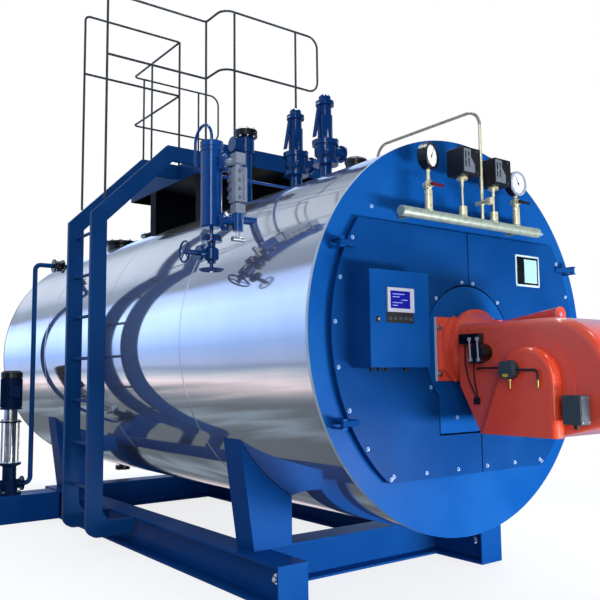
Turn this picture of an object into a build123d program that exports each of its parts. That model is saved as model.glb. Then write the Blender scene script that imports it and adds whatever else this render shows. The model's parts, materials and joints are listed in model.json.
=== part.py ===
from build123d import *
import os
from math import cos, radians, sin, sqrt, tan

# Horizontal fire-tube steam boiler on a steel skid, in millimetres, +Z up.
# Every piece is modelled in the shell frame: X across, Y back along the shell axis from the
# front plate's face, Z up from the shell axis. The last lines place it on the floor.

# Shell
shell_radius = 1092
shell_length = 5190
cladding_wall = 30
plate_lip = 8
plate_thickness = 20
rear_cover_inset = 170
rear_cover_thickness = 14
shell_ground_clearance = 373
front_overhang = 1035
seat_gap = 0.3
axis_height = shell_radius + shell_ground_clearance
plate_radius = shell_radius + plate_lip

# Smokebox behind the two front doors
smokebox_depth = 420
tube_sheet_thickness = 24
throat_radius = 300
throat_wall = 16
burner_axis_drop = 84
tube_end_radius = 32
tube_end_proud = 5
tube_pitch = 118
tube_edge_margin = 110
tube_lowest = -420

# Front doors
door_edge_inset = 117
door_radius = plate_radius - door_edge_inset
door_thickness = 12
door_stand_off = 22
door_top = 572
door_bottom = -759
door_seat_inset = 70
door_seat_width = 60
door_running_gap = 8
split_above_burner = 12
split_below_burner = 80
collar_radius = 352
apron_half_width = 247
apron_bottom = -535
lining_depth = 60
lining_clearance = 42
lining_gap = 30

# Door hinges
hinge_pin_inset = 32
hinge_pin_x = door_radius - hinge_pin_inset
hinge_pin_forward = 75
hinge_pin_radius = 7
hinge_knuckle_radius = 14
hinge_knuckle_height = 28
hinge_ear_thickness = 9
hinge_gap = 1.5
hinge_heights = (424, -449)
strap_reach = 128
strap_thickness = 10
strap_elbow = 46

# Control cabinet on the left door
cabinet_left = -862
cabinet_width = 400
cabinet_bottom = -183
cabinet_height = 473
cabinet_depth = 142
cabinet_corner = 6
cabinet_door_thickness = 24
cabinet_door_gap = 1
cabinet_hinge_radius = 6
cabinet_pin_radius = 3
cabinet_hinge_heights = (60, 343)
cabinet_knuckle = 70
cabinet_ear = 20
cabinet_leaf_strip = 4
screen_width = 180
screen_height = 120
screen_left = 107
screen_top = 85
screen_proud = 10

# Skid
beam_outer_half = 913
beam_width = 200
beam_height = 240
beam_flange = 16
beam_web = 12
beam_start = 528
beam_end_margin = 860
beam_end_plate = 12
lifting_hole_radius = 24
lifting_hole_from_end = 140
lifting_hole_height = 125
cross_front_y = 1035
cross_rear_inset = 105
cross_width = 200
saddle_front_y = 980
saddle_rear_inset = 170
saddle_depth = 190
saddle_inner_x = 560
saddle_outer_x = 830
saddle_top_inset = 167
saddle_core_depth = 200
beam_end = shell_length - beam_end_margin
cross_rear_y = beam_end - cross_rear_inset
saddle_rear_y = beam_end - saddle_rear_inset

# Ladder and platform
ladder_near_y = 2356
ladder_width = 465
stringer_depth = 118
stringer_thickness = 40
ladder_stand_off = 180
stringer_foot_height = 110
stringer_foot_round = 90
stringer_slope_drop = 601
platform_rise = 481
platform_frame_height = 140
platform_left = -341
platform_right = 660
platform_front_y = 2068
platform_rear_y = 3773
deck_plate = 8
frame_wall = 10
rung_radius = 12
rung_pitch = 309
rung_count = 7
rung_top_drop = 725
support_wall = 12
support_flange = 110
support_rear_y = 3287
support_front_y = 2440
support_depth = 520
platform_top = shell_radius + platform_rise
stringer_outer_x = -shell_radius - ladder_stand_off
stringer_slope_start = platform_top - stringer_slope_drop
lowest_rung = platform_top - rung_top_drop - (rung_count - 1) * rung_pitch

# Handrails
rail_radius = 9
rail_margin = 12
rail_inset = 104
rail_gate_x = -326
rail_end_x = 610
guard_height = 1103
middle_rail_height = 620
rail_rounded_end = 95
rail_corner = 40
rail_gate_corner = 24
rail_front_corner = 90
rail_posts = (-224, 378)
rail_side_post_back = 395
rail_outer_x = stringer_outer_x + rail_inset
rail_top = platform_top + guard_height
rail_middle = platform_top + middle_rail_height

# Front fittings
manifold_radius = 28
manifold_left = -600
manifold_right = 525
manifold_forward = 132
manifold_height = 611
manifold_stay_inset = 120
manifold_stay_radius = 12
gauge_radius = 72
gauge_depth = 59
gauge_bezel = 8
gauge_glass_recess = 5
gauge_neck_radius = 12
gauge_neck = 10
gauge_left_x = -396
gauge_right_x = 330
gauge_left_height = 925
gauge_right_height = 880
gauge_left_turn = 16
gauge_right_turn = 0
gauge_valve_height = 160
gauge_valve_reach = 26
gauge_valve_radius = 19
socket_radius = 21
socket_top = 105
union_top = 131
riser_step = 2
nipple_radius = 9
lever_length = 85
lever_hub_radius = 12
lever_hub_length = 12
lever_grip_width = 15
lever_thickness = 5
controller_left_x = -130
controller_left_base = 850
controller_right_x = 130
controller_right_base = 830
controller_width = 140
controller_depth = 118
controller_height = 150
controller_set_back = 44
controller_disc_radius = 31
controller_disc_height = 12
controller_boss_radius = 23
controller_boss_top = 78
siphon_radius = 6
siphon_taper = 6
siphon_end = 40
sensing_x = 32
sensing_radius = 9
sensing_bend = 90
sensing_rise = 178
sensing_entry_y = 715
sensing_boss_radius = 24
sensing_boss_height = 14
needle_height = 120
needle_back = 40
needle_front = 70
needle_radius = 13
needle_nut_radius = 21
needle_nut_length = 26

# Water column
column_stand_off = 30
column_y = 873
column_radius = 62
column_bottom = 627
column_top = 1130
column_ring = 5
column_ring_heights = ((1072, 1084), (1098, 1130))
column_base_height = 10
column_to_shell_height = 700
column_to_shell_radius = 26
branch_low = 660
branch_high = 1004
branch_radius = 28
branch_flange_radius = 54
branch_flange_near = 66
branch_flange_far = 94
level_gauge_right = 100
level_gauge_forward = 125
level_cock_radius = 31
level_cock_low = 598
level_cock_top = 700
level_head_width = 62
level_head_heights = ((700, 753), (987, 1050))
level_body_heights = (764, 964)
level_body_width = 77
level_cover = 9
level_neck_radius = 20
level_drain_radius = 9
level_drain_height = 552
level_tap_radius = 14
level_tap_reach = 38
arch_radius = 9
arch_top = 1258
arch_back = 196
arch_bend = 96
arch_elbow = 60
arch_entry_height = 1000
entry_depth = 20
column_x = -shell_radius - column_stand_off

# Blowdown valve under the column, as radius and depth below the column
blowdown_profile = (
    (11, 0), (11, 45), (62, 45), (62, 61), (55, 62), (55, 65), (62, 66), (62, 82), (24, 83),
    (24, 112), (42, 122), (42, 182), (24, 192), (24, 206), (14, 207),
)
side_wheel_drop = 152
side_wheel_reach = 172
side_wheel_radius = 58
side_bonnet_reach = 66
side_bonnet_radius = 44
side_bonnet_thickness = 22
side_stem_radius = 15
bottom_wheel_drop = 242
bottom_wheel_radius = 67
wheel_rim = 6
wheel_hub = 14
wheel_spokes = 4
wheel_spoke_share = 0.6
side_wheel_z = column_bottom - side_wheel_drop
bottom_wheel_z = column_bottom - bottom_wheel_drop

# Safety valves, as radius and height above the shell's top
safety_valve_profile = (
    (45, 0), (45, 165), (92, 165), (92, 192), (58, 192), (58, 215), (78, 240), (78, 305),
    (94, 306), (94, 340), (60, 340), (54, 352), (54, 524), (46, 530), (46, 597), (66, 598),
    (66, 628), (43, 630), (43, 664), (32, 676),
)
valve_front_y = 1221
valve_rear_y = 1574
valve_outlet_height = 270
valve_outlet_radius = 44
valve_outlet_reach = 132
valve_outlet_flange = 62
valve_outlet_flange_thickness = 20
valve_lever_thickness = 14
valve_lever_width = 30
valve_lever_top = 608
valve_lever_bottom = 358
valve_lever_lean = 42

# Other fittings on the shell's top
steam_outlet_x = -196
steam_outlet_y = 1958
outlet_radius = 47
outlet_rise = 576
outlet_flange_radius = 88
outlet_flange_thickness = 22
outlet_flange_gap = 4
outlet_side_radius = 58
outlet_side_reach = 128
outlet_side_drop = 123
outlet_body_radius = 64
outlet_body_height = 110
cap_y = 893
cap_profile = ((70, 0), (70, 96), (78, 98), (78, 118), (66, 132), (40, 142))
manhole_x = -200
manhole_from_rear = 900
manhole_profile = ((150, 0), (150, 18), (190, 18), (190, 42), (60, 46), (60, 60))
flue_x = 60
flue_from_rear = 1230
flue_profile = ((150, 0), (150, 74), (192, 74), (192, 92), (165, 94), (165, 100))
drain_from_rear = 520
drain_profile = ((36, 0), (36, 44), (75, 44), (75, 62), (70, 64), (75, 66), (75, 84), (36, 88))

# Feed water
pump_x = -1315
pump_from_rear = 1120
pump_base_half = 130
pump_base_height = 235
pump_profile = (
    (100, 0), (100, 22), (72, 24), (72, 96), (58, 110), (58, 240), (96, 256), (96, 276),
    (48, 278), (48, 619), (90, 620), (90, 634), (56, 636), (56, 733), (92, 735), (92, 749),
    (84, 751), (84, 1010), (92, 1012), (92, 1058), (70, 1075),
)
tie_rod_radius = 8
tie_rod_circle = 78
tie_rod_heights = (270, 626)
tie_rod_count = 4
feed_outlet_height = 50
pump_port_reach = 118
pump_port_radius = 40
pump_port_flange = 62
pump_port_flange_thickness = 18
feed_pipe_gap = 63
feed_entry_height = 812
feed_pipe_radius = 21
feed_pipe_bend = 50
check_valve_x = -924
check_valve_profile = ((62, -48), (62, -32), (42, -30), (50, -14), (50, 14), (42, 30), (62, 32), (62, 48))
pump_y = shell_length - pump_from_rear

# Burner
flange_half_width = 277
flange_half_height = 171
flange_plate = 18
throat_block_half = 240
throat_block_corner = 60
throat_block_depth = 22
ring_radius = 220
ring_depth = 21
head_radius = 205
head_front_radius = 152
head_length = 120
casing_top = 44
casing_front = -1005
casing_bottom = -515
casing_brow = 300
casing_chin = 90
casing_nose_low = -440
casing_belly = -720
casing_heel = -282
casing_neck_low = -278
casing_round = 42
burner_left = -220
burner_right = 215
fan_cover_radius = 262
fan_cover_y = -572
fan_cover_z = -286
fan_cover_proud = 10
motor_radius = 42
motor_back_radius = 14
motor_x = 185
motor_front_y = -500
motor_back_y = -110
motor_foot = 40
hood_left = -286
hood_round = 30
hood_top = -91
hood_rear = -317
hood_rear_top = -501
hood_front = -769
hood_rear_arch = 150
hood_front_arch = 160
junction_y = (-904, -812)
junction_z = (-446, -316)
junction_proud = 70
actuator_y = -325
actuator_z = -112
actuator_radius = 46
actuator_reach = 70
terminal_y = (-320, -190)
terminal_z = (-64, -14)
terminal_proud = 42
switch_y = -536
switch_z = -200
switch_half = 40
switch_disc_radius = 46
switch_disc = 14
switch_proud = 50
lead_radius = 4
lead_bend_share = 0.45
lead_outer_y = -203
lead_outer_path = ((-196, -120), (-200, -185), (-218, -250))
lead_inner_y = -262
lead_inner_path = ((-256, -120), (-252, -185), (-254, -250))
lead_spacing = 12
lead_clip_y = -268
lead_clip_z = -356
lead_clip_half = 17


def block(x, y, z):
    """A box given by its low and high value on each axis."""
    size = (x[1] - x[0], y[1] - y[0], z[1] - z[0])
    return Pos((x[0] + x[1]) / 2, (y[0] + y[1]) / 2, (z[0] + z[1]) / 2) * Box(*size)


def rod(start, end, radius):
    """A round bar from one point to another."""
    way = Vector(*end) - Vector(*start)
    return Plane(origin=start, z_dir=way) * Cylinder(
        radius, way.length, align=(Align.CENTER, Align.CENTER, Align.MIN)
    )


def disc(radius, y0, y1, x=0, z=0):
    """A round plate or bar along the shell's length."""
    return rod((x, y0, z), (x, y1, z), radius)


def turned(profile, at, direction=(0, 0, 1)):
    """A turned piece: radius and height pairs about an axis that starts at a point."""
    points = [(0, profile[0][1])] + list(profile) + [(0, profile[-1][1])]
    blank = revolve(Plane.XZ * outline(*points), Axis.Z)
    return Plane(origin=at, z_dir=direction) * blank


def pipe(points, radius, bends):
    """A round pipe through the given corners, with one bend radius or one for each corner."""
    path = FilletPolyline(*points, radius=bends)
    start = Plane(origin=path @ 0, z_dir=path % 0)
    return sweep(start * Circle(radius), path=path)


def front_slab(sketch, back_y, thickness):
    """An X-Z outline made a slab that stands forward of back_y."""
    return extrude(Plane.XZ.offset(-back_y) * sketch, thickness)


def across(profile, x0, x1):
    """A Y-Z outline carried across from x0 to x1."""
    return extrude(Plane.YZ.offset(x0) * profile, x1 - x0)


def outline(*points):
    """A closed face through the points."""
    return make_face(Polyline(*points, close=True))


def shell_height(x, radius=shell_radius):
    """Height of the shell's surface above its axis at a distance x from the centre plane."""
    return sqrt(radius**2 - x**2)


def shell_bore(y, reach):
    """The room that the shell takes up near y, cut from what seats on it."""
    return disc(shell_radius + seat_gap, y - reach, y + reach)


def between(low_x, high_x, low_z, high_z):
    """A rectangle in the X-Z plane."""
    middle = Pos((low_x + high_x) / 2, (low_z + high_z) / 2)
    return middle * Rectangle(high_x - low_x, high_z - low_z)


def keyhole(grow):
    """The collar round the burner with the apron below it, grown by a margin."""
    collar = Pos(0, -burner_axis_drop) * Circle(collar_radius + grow)
    side = apron_half_width + grow
    return collar + between(-side, side, apron_bottom - grow, -burner_axis_drop)


def door_opening(inset):
    """The outline of both doors together, drawn in by a margin."""
    window = between(-plate_radius, plate_radius, door_bottom + inset, door_top - inset)
    return Circle(door_radius - inset) & window


def leaf_outline(side, inset, gap):
    """One door's outline: side is -1 for the left leaf and 1 for the right."""
    upper = split_above_burner + side * gap
    lower = split_below_burner + side * gap
    far = side * plate_radius
    above = between(min(upper, far), max(upper, far), -burner_axis_drop, plate_radius)
    below = between(min(lower, far), max(lower, far), -plate_radius, -burner_axis_drop)
    return (door_opening(inset) & (above + below)) - keyhole(2 * gap)


def hinge_arm(side, height):
    """The strap welded to a door, with its knuckle round the pin."""
    pin = side * hinge_pin_x
    near = side * (hinge_pin_x - strap_reach)
    elbow = side * (hinge_pin_x - strap_elbow)
    back = -door_stand_off - door_thickness
    face = outline(
        (pin, -hinge_pin_forward - hinge_knuckle_radius),
        (near, back - strap_thickness),
        (near, back),
        (elbow, back),
        (pin, -hinge_pin_forward + hinge_knuckle_radius),
    )
    low = height - hinge_knuckle_height / 2
    arm = Pos(0, 0, low) * extrude(face, hinge_knuckle_height)
    top = height + hinge_knuckle_height / 2
    centre = (pin, -hinge_pin_forward)
    knuckle = rod((*centre, low), (*centre, top), hinge_knuckle_radius)
    bore = rod((*centre, low), (*centre, top), hinge_pin_radius + seat_gap)
    return (arm + knuckle) - bore


def door(side):
    """A front door: plate, refractory lining and two hinge straps."""
    gap = door_running_gap / 2
    leaf = front_slab(leaf_outline(side, 0, gap), -door_stand_off, door_thickness)
    lining_inset = door_seat_inset + door_seat_width + lining_clearance
    lining = front_slab(leaf_outline(side, lining_inset, lining_gap), lining_depth,
                        lining_depth + door_stand_off)
    piece = leaf + lining
    for height in hinge_heights:
        piece += hinge_arm(side, height)
    return piece


def hinge_bracket(side, height):
    """The forked bracket on the front plate, with its pin."""
    half = hinge_knuckle_height / 2 + hinge_gap
    reach = hinge_pin_forward + hinge_knuckle_radius
    x = (side * hinge_pin_x - hinge_knuckle_radius, side * hinge_pin_x + hinge_knuckle_radius)
    outer = half + hinge_ear_thickness
    foot = block(x, (-hinge_ear_thickness, 0), (height - outer, height + outer))
    upper = block(x, (-reach, 0), (height + half, height + outer))
    lower = block(x, (-reach, 0), (height - outer, height - half))
    pin = rod((side * hinge_pin_x, -hinge_pin_forward, height - outer),
              (side * hinge_pin_x, -hinge_pin_forward, height + outer), hinge_pin_radius)
    return foot + upper + lower + pin


def front_plate():
    """The front ring plate, with the raised seat that the doors close on."""
    blank = disc(plate_radius, 0, plate_thickness)
    blank += front_slab(door_opening(door_seat_inset), 0, door_stand_off - seat_gap)
    inside = door_opening(door_seat_inset + door_seat_width)
    through = plate_thickness + door_stand_off
    return blank - front_slab(inside, plate_thickness + seat_gap, through + 2 * seat_gap)


def rear_plate():
    """The closed rear end with its round cover."""
    inner = shell_length - plate_thickness
    cover = disc(shell_radius - rear_cover_inset, shell_length, shell_length + rear_cover_thickness)
    return disc(shell_radius, inner, shell_length) + cover


def tube_centres():
    """Where the fire tubes end: a staggered pattern inside the shell, clear of the furnace."""
    row_height = tube_pitch * sqrt(3) / 2
    reach = sheet_radius - tube_edge_margin
    keep_off = throat_radius + tube_pitch / 2
    centres = []
    row = 0
    while tube_lowest + row * row_height < reach:
        z = tube_lowest + row * row_height
        shift = tube_pitch / 2 * (row % 2)
        count = int(reach / tube_pitch)
        for step in range(-count, count + 1):
            x = step * tube_pitch + shift
            inside = x**2 + z**2 < reach**2
            clear = x**2 + (z + burner_axis_drop) ** 2 > keep_off**2
            if inside and clear and z < door_top:
                centres.append((x, z))
        row += 1
    return centres


def tube_sheet():
    """The tube sheet behind the smokebox with the fire tubes' beaded ends."""
    plate = Circle(sheet_radius)
    ends = Sketch(children=[Pos(x, z) * Circle(tube_end_radius) for x, z in tube_centres()])
    sheet = front_slab(plate, smokebox_depth + tube_sheet_thickness, tube_sheet_thickness)
    return sheet + front_slab(ends, smokebox_depth, tube_end_proud)


def furnace_throat():
    """The round throat from the burner to the furnace."""
    back = smokebox_depth - seat_gap
    z = -burner_axis_drop
    bore = disc(throat_radius - throat_wall, -seat_gap, back + seat_gap, 0, z)
    return disc(throat_radius, 0, back, 0, z) - bore


def cabinet_hinge_places():
    """Low and high end of each knuckle of the cabinet's hinges."""
    return [(cabinet_bottom + height, cabinet_bottom + height + cabinet_knuckle)
            for height in cabinet_hinge_heights]


def cabinet_body():
    """The cabinet's box with its hinge pins and their ears."""
    body = block(cabinet_x, (cabinet_front, cabinet_back), cabinet_z)
    corners = body.edges().filter_by(Axis.Y)
    body = fillet(corners, cabinet_corner)
    half = cabinet_leaf_strip / 2
    reach = cabinet_front + cabinet_ear
    for low, high in cabinet_hinge_places():
        centre = (cabinet_pin_x, cabinet_pin_y)
        body += rod((*centre, low - cabinet_ear), (*centre, high + cabinet_ear), cabinet_pin_radius)
        for ear in ((low - cabinet_ear, low - cabinet_door_gap),
                    (high + cabinet_door_gap, high + cabinet_ear)):
            body += rod((*centre, ear[0]), (*centre, ear[1]), cabinet_hinge_radius)
            body += block((cabinet_pin_x - half, cabinet_pin_x + half), (cabinet_pin_y, reach), ear)
            body += block((cabinet_x[1] - half, cabinet_pin_x + half),
                          (cabinet_front + half, reach), ear)
    return body


def cabinet_door():
    """The cabinet's door with its knuckles."""
    leaf = block(cabinet_x, (cabinet_door_front, cabinet_door_back), cabinet_z)
    leaf = fillet(leaf.edges().filter_by(Axis.Y), cabinet_corner)
    for low, high in cabinet_hinge_places():
        centre = (cabinet_pin_x, cabinet_pin_y)
        strip = (cabinet_pin_y - cabinet_leaf_strip, cabinet_pin_y + cabinet_leaf_strip)
        leaf += rod((*centre, low), (*centre, high), cabinet_hinge_radius)
        leaf += block((cabinet_x[1] - cabinet_leaf_strip, cabinet_pin_x), strip, (low, high))
        leaf -= rod((*centre, low), (*centre, high), cabinet_pin_radius + seat_gap)
    return leaf


def cabinet_display():
    """The display's housing on the cabinet's door."""
    x = cabinet_x[0] + screen_left
    z = cabinet_z[1] - screen_top
    back = cabinet_door_front - seat_gap
    return block((x, x + screen_width), (back - screen_proud, back), (z - screen_height, z))


def i_beam(width, height, length):
    """A rolled beam along Y, standing on its lower flange at Z = 0."""
    section = (
        Pos(0, beam_flange / 2) * Rectangle(width, beam_flange)
        + Pos(0, height / 2) * Rectangle(beam_web, height)
        + Pos(0, height - beam_flange / 2) * Rectangle(width, beam_flange)
    )
    return Rot(Z=180) * extrude(Plane.XZ * section, length)


def skid_beam(side):
    """A long beam of the skid with closed ends and a lifting hole near each end."""
    x = side * (beam_outer_half - beam_width / 2)
    length = beam_end - beam_start
    beam = Pos(x, beam_start, -axis_height) * i_beam(beam_width, beam_height, length)
    inside = (-axis_height + beam_flange, -axis_height + beam_height - beam_flange)
    half = beam_width / 2
    for y in (beam_start, beam_end - beam_end_plate):
        beam += block((x - half, x + half), (y, y + beam_end_plate), inside)
    for y in (beam_start + lifting_hole_from_end, beam_end - lifting_hole_from_end):
        z = -axis_height + lifting_hole_height
        beam -= rod((x - beam_web, y, z), (x + beam_web, y, z), lifting_hole_radius)
    return beam


def cross_beam(y):
    """A beam across the skid, between the two long ones."""
    half = beam_outer_half - beam_width / 2 - beam_web / 2
    low = -axis_height + beam_flange
    high = -axis_height + beam_height - beam_flange
    beam = block((-half, half), (y - beam_web / 2, y + beam_web / 2), (low, high))
    inner = beam_outer_half - beam_width
    for level in (-axis_height, -axis_height + beam_height - beam_flange):
        beam += block((-inner, inner), (y - cross_width / 2, y + cross_width / 2),
                      (level, level + beam_flange))
    return beam


def saddle(side, y):
    """A box leg from the skid beam up to the shell, with its curved top."""
    foot = -axis_height + beam_height
    top_x = shell_radius - saddle_top_inset
    flank = outline(
        (side * saddle_inner_x, foot),
        (side * saddle_outer_x, foot),
        (side * top_x, -shell_height(top_x)),
        (0, -saddle_core_depth),
        (side * saddle_inner_x, -shell_height(saddle_inner_x)),
    )
    return front_slab(flank, y + saddle_depth / 2, saddle_depth) - shell_bore(y, saddle_depth)


def stringer(y):
    """A ladder stile: foot on the skid, straight rise, slope over the shell, level top."""
    outer = stringer_outer_x
    inner = outer + stringer_depth
    foot = -axis_height + beam_height
    sole = foot - stringer_foot_height
    beam_side = -beam_outer_half - seat_gap
    under = platform_top - stringer_depth
    slope_end_x = outer + (platform_top - stringer_slope_start)
    corner = stringer_depth * tan(radians(22.5))
    end_x = platform_left - seat_gap
    face = outline(
        (beam_side, sole),
        (outer, sole),
        (outer, stringer_slope_start),
        (slope_end_x, platform_top),
        (end_x, platform_top),
        (end_x, under),
        (slope_end_x + corner, under),
        (inner, stringer_slope_start - corner),
        (inner, foot),
        (beam_side, foot),
    )
    for heel in ((outer, sole), (inner, foot)):
        face = fillet(face.vertices().sort_by_distance((*heel, 0))[0], stringer_foot_round)
    return front_slab(face, y + stringer_thickness / 2, stringer_thickness)


def ladder_rungs():
    """Round rungs between the stiles."""
    x = stringer_outer_x + stringer_depth / 2
    start = ladder_near_y + stringer_thickness / 2 + seat_gap
    end = ladder_near_y + ladder_width - stringer_thickness / 2 - seat_gap
    heights = [lowest_rung + step * rung_pitch for step in range(rung_count)]
    return Compound(children=[rod((x, start, z), (x, end, z), rung_radius) for z in heights])


def platform_deck():
    """Deck plate on a frame of upright flats."""
    low = platform_top - platform_frame_height
    under = platform_top - deck_plate
    x = (platform_left, platform_right)
    y = (platform_front_y, platform_rear_y)
    deck = block(x, y, (under, platform_top))
    rim = block(x, y, (low, under))
    hollow = block((x[0] + frame_wall, x[1] - frame_wall), (y[0] + frame_wall, y[1] - frame_wall),
                   (low, under))
    return deck + (rim - hollow)


def platform_support(y):
    """An upright web with two end flanges, shaped to the shell below."""
    low = shell_radius - support_depth
    high = platform_top - platform_frame_height - seat_gap
    flange = (y - support_flange / 2, y + support_flange / 2)
    web = block((platform_left, platform_right), (y - support_wall / 2, y + support_wall / 2),
                (low, high))
    for x in (platform_left, platform_right - support_wall):
        web += block((x, x + support_wall), flange, (low, high))
    return web - shell_bore(y, support_flange)


def rail_loop(corners, foot, posts):
    """Top and middle rail as one bent tube that starts as the ladder's post, with more posts.

    Each corner is an x, a y and its bend radius; foot is the height where the tube starts.
    """
    x, y, _ = corners[0]
    points = [(x, y, foot)]
    bends = []
    for x, y, bend in corners:
        points.append((x, y, rail_top))
        bends.append(bend)
    for x, y, bend in reversed(corners):
        points.append((x, y, rail_middle))
        bends.append(bend)
    piece = pipe(points, rail_radius, bends[:-1])
    for x, y in posts:
        piece += rod((x, y, platform_top), (x, y, rail_top), rail_radius)
    return piece


def rail_foot():
    """Height where a post at the ladder meets the stile's slope."""
    return stringer_slope_start + rail_outer_x + rail_radius - stringer_outer_x + seat_gap


def handrail_near():
    """The rail at the front of the platform and beside the ladder."""
    y = ladder_near_y
    front = platform_front_y + rail_margin
    corners = [(rail_outer_x, y, rail_corner), (rail_gate_x, y, rail_gate_corner),
               (rail_gate_x, front, rail_front_corner), (rail_end_x, front, rail_rounded_end)]
    posts = [(rail_gate_x, y)] + [(x, front) for x in rail_posts]
    return rail_loop(corners, rail_foot(), posts)


def handrail_far():
    """The rail at the back of the platform and beside the ladder."""
    y = ladder_near_y + ladder_width
    back = platform_rear_y - rail_margin
    corners = [(rail_outer_x, y, rail_corner), (rail_gate_x, y, rail_gate_corner),
               (rail_gate_x, back, rail_corner), (rail_end_x, back, rail_rounded_end)]
    posts = [(rail_gate_x, y), (rail_gate_x, back - rail_side_post_back)]
    posts += [(x, back) for x in rail_posts]
    return rail_loop(corners, rail_foot(), posts)


def gauge(x, height, turn):
    """A dial gauge on its neck, its dial turned toward the right by an angle."""
    facing = (sin(radians(turn)), -cos(radians(turn)), 0)
    back = Vector(x, gauge_y, height) - Vector(*facing) * (gauge_depth / 2)
    glass = gauge_depth - gauge_glass_recess
    case = turned([(gauge_radius - gauge_bezel, 0), (gauge_radius, gauge_bezel),
                   (gauge_radius, gauge_depth), (gauge_radius - gauge_bezel, gauge_depth),
                   (gauge_radius - gauge_bezel, glass)], back, facing)
    foot = height - gauge_radius - gauge_neck
    return case + rod((x, gauge_y, foot), (x, gauge_y, foot + 2 * gauge_neck), gauge_neck_radius)


def gauge_riser(x, height):
    """Socket, union, ball valve and nipple from the cross pipe up to a gauge."""
    valve = gauge_valve_height
    ball = gauge_valve_radius
    step = riser_step
    end = height - gauge_radius - gauge_neck - seat_gap - manifold_height
    profile = [(socket_radius, 0), (socket_radius, socket_top), (nipple_radius, socket_top),
               (nipple_radius, socket_top + step), (socket_radius, socket_top + step),
               (socket_radius, union_top), (nipple_radius + step, union_top + step),
               (ball, valve - ball), (ball + step, valve), (ball, valve + ball),
               (nipple_radius + step, valve + ball + step), (nipple_radius, end)]
    riser = turned(profile, (x, gauge_y, manifold_height))
    z = manifold_height + valve
    reach = gauge_valve_reach
    return riser + rod((x, gauge_y - reach, z), (x, gauge_y + reach, z), gauge_valve_radius - step)


def controller_riser(x, base):
    """Boss, thin siphon and diaphragm disc from the cross pipe up to a controller."""
    end = base - manifold_height
    disc_low = end - controller_disc_height
    profile = [(controller_boss_radius, 0), (controller_boss_radius, controller_boss_top),
               (siphon_radius, controller_boss_top + siphon_taper),
               (siphon_radius, disc_low - siphon_end),
               (nipple_radius, disc_low - siphon_end + riser_step), (nipple_radius, disc_low),
               (controller_disc_radius, disc_low), (controller_disc_radius, end)]
    return turned(profile, (x, gauge_y, manifold_height))


def manifold():
    """The cross pipe with its four risers and two gauge valves, on stays from the front plate."""
    z = manifold_height
    piece = rod((manifold_left, gauge_y, z), (manifold_right, gauge_y, z), manifold_radius)
    piece += gauge_riser(gauge_left_x, gauge_left_height)
    piece += gauge_riser(gauge_right_x, gauge_right_height)
    piece += controller_riser(controller_left_x, controller_left_base)
    piece += controller_riser(controller_right_x, controller_right_base)
    for x in (manifold_left + manifold_stay_inset, manifold_right - manifold_stay_inset):
        piece += rod((x, -seat_gap, z), (x, gauge_y, z), manifold_stay_radius)
    return piece


def gauge_lever(x):
    """The lever of a gauge valve: a hub in front of the valve and a flat grip to the right."""
    z = manifold_height + gauge_valve_height
    back = gauge_y - gauge_valve_reach - seat_gap
    front = back - lever_hub_length
    half = lever_grip_width / 2
    grip = block((x, x + lever_length), (front + lever_thickness / 2, front + 1.5 * lever_thickness),
                 (z - half, z + half))
    return disc(lever_hub_radius, front, back, x, z) + grip


def controller(x, base):
    """A pressure controller's housing above its diaphragm disc."""
    half = controller_width / 2
    back = gauge_y + controller_set_back
    housing = block((x - half, x + half), (back - controller_depth, back),
                    (base + seat_gap, base + controller_height))
    return fillet(housing.edges().filter_by(Axis.Y), cabinet_corner)


def sensing_pipe():
    """The pipe from the manifold over the shell and down into its top, with its needle valve."""
    over = shell_radius + sensing_rise
    entry = shell_height(sensing_x + sensing_boss_radius)
    low = manifold_height + manifold_radius + seat_gap
    run = pipe([(sensing_x, gauge_y, low), (sensing_x, gauge_y, over),
                (sensing_x, sensing_entry_y, over), (sensing_x, sensing_entry_y, entry)],
               sensing_radius, sensing_bend)
    boss_top = shell_radius + sensing_boss_height
    run += rod((sensing_x, sensing_entry_y, entry), (sensing_x, sensing_entry_y, boss_top),
               sensing_boss_radius)
    z = manifold_height + needle_height
    front = gauge_y - needle_front
    run += disc(needle_radius, front, gauge_y + needle_back, sensing_x, z)
    run += disc(needle_nut_radius, front, front + needle_nut_length, sensing_x, z)
    return run - shell_bore(sensing_entry_y, sensing_bend)


def handwheel(radius, rim, hub):
    """A handwheel about Z: round rim, straight spokes and hub."""
    wheel = revolve(Plane.XZ * Pos(radius, 0) * Circle(rim), Axis.Z)
    wheel += Cylinder(hub, 3 * rim)
    for step in range(wheel_spokes):
        angle = radians(360 / wheel_spokes * (step + 0.5))
        tip = (radius * cos(angle), radius * sin(angle), 0)
        wheel += rod((0, 0, 0), tip, rim * wheel_spoke_share)
    return wheel


def toward_gauge(distance, z):
    """A point on the way from the column's axis to the level gauge."""
    way = Vector(level_gauge_right, -level_gauge_forward, 0).normalized() * distance
    return (column_x + way.X, column_y + way.Y, z)


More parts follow.
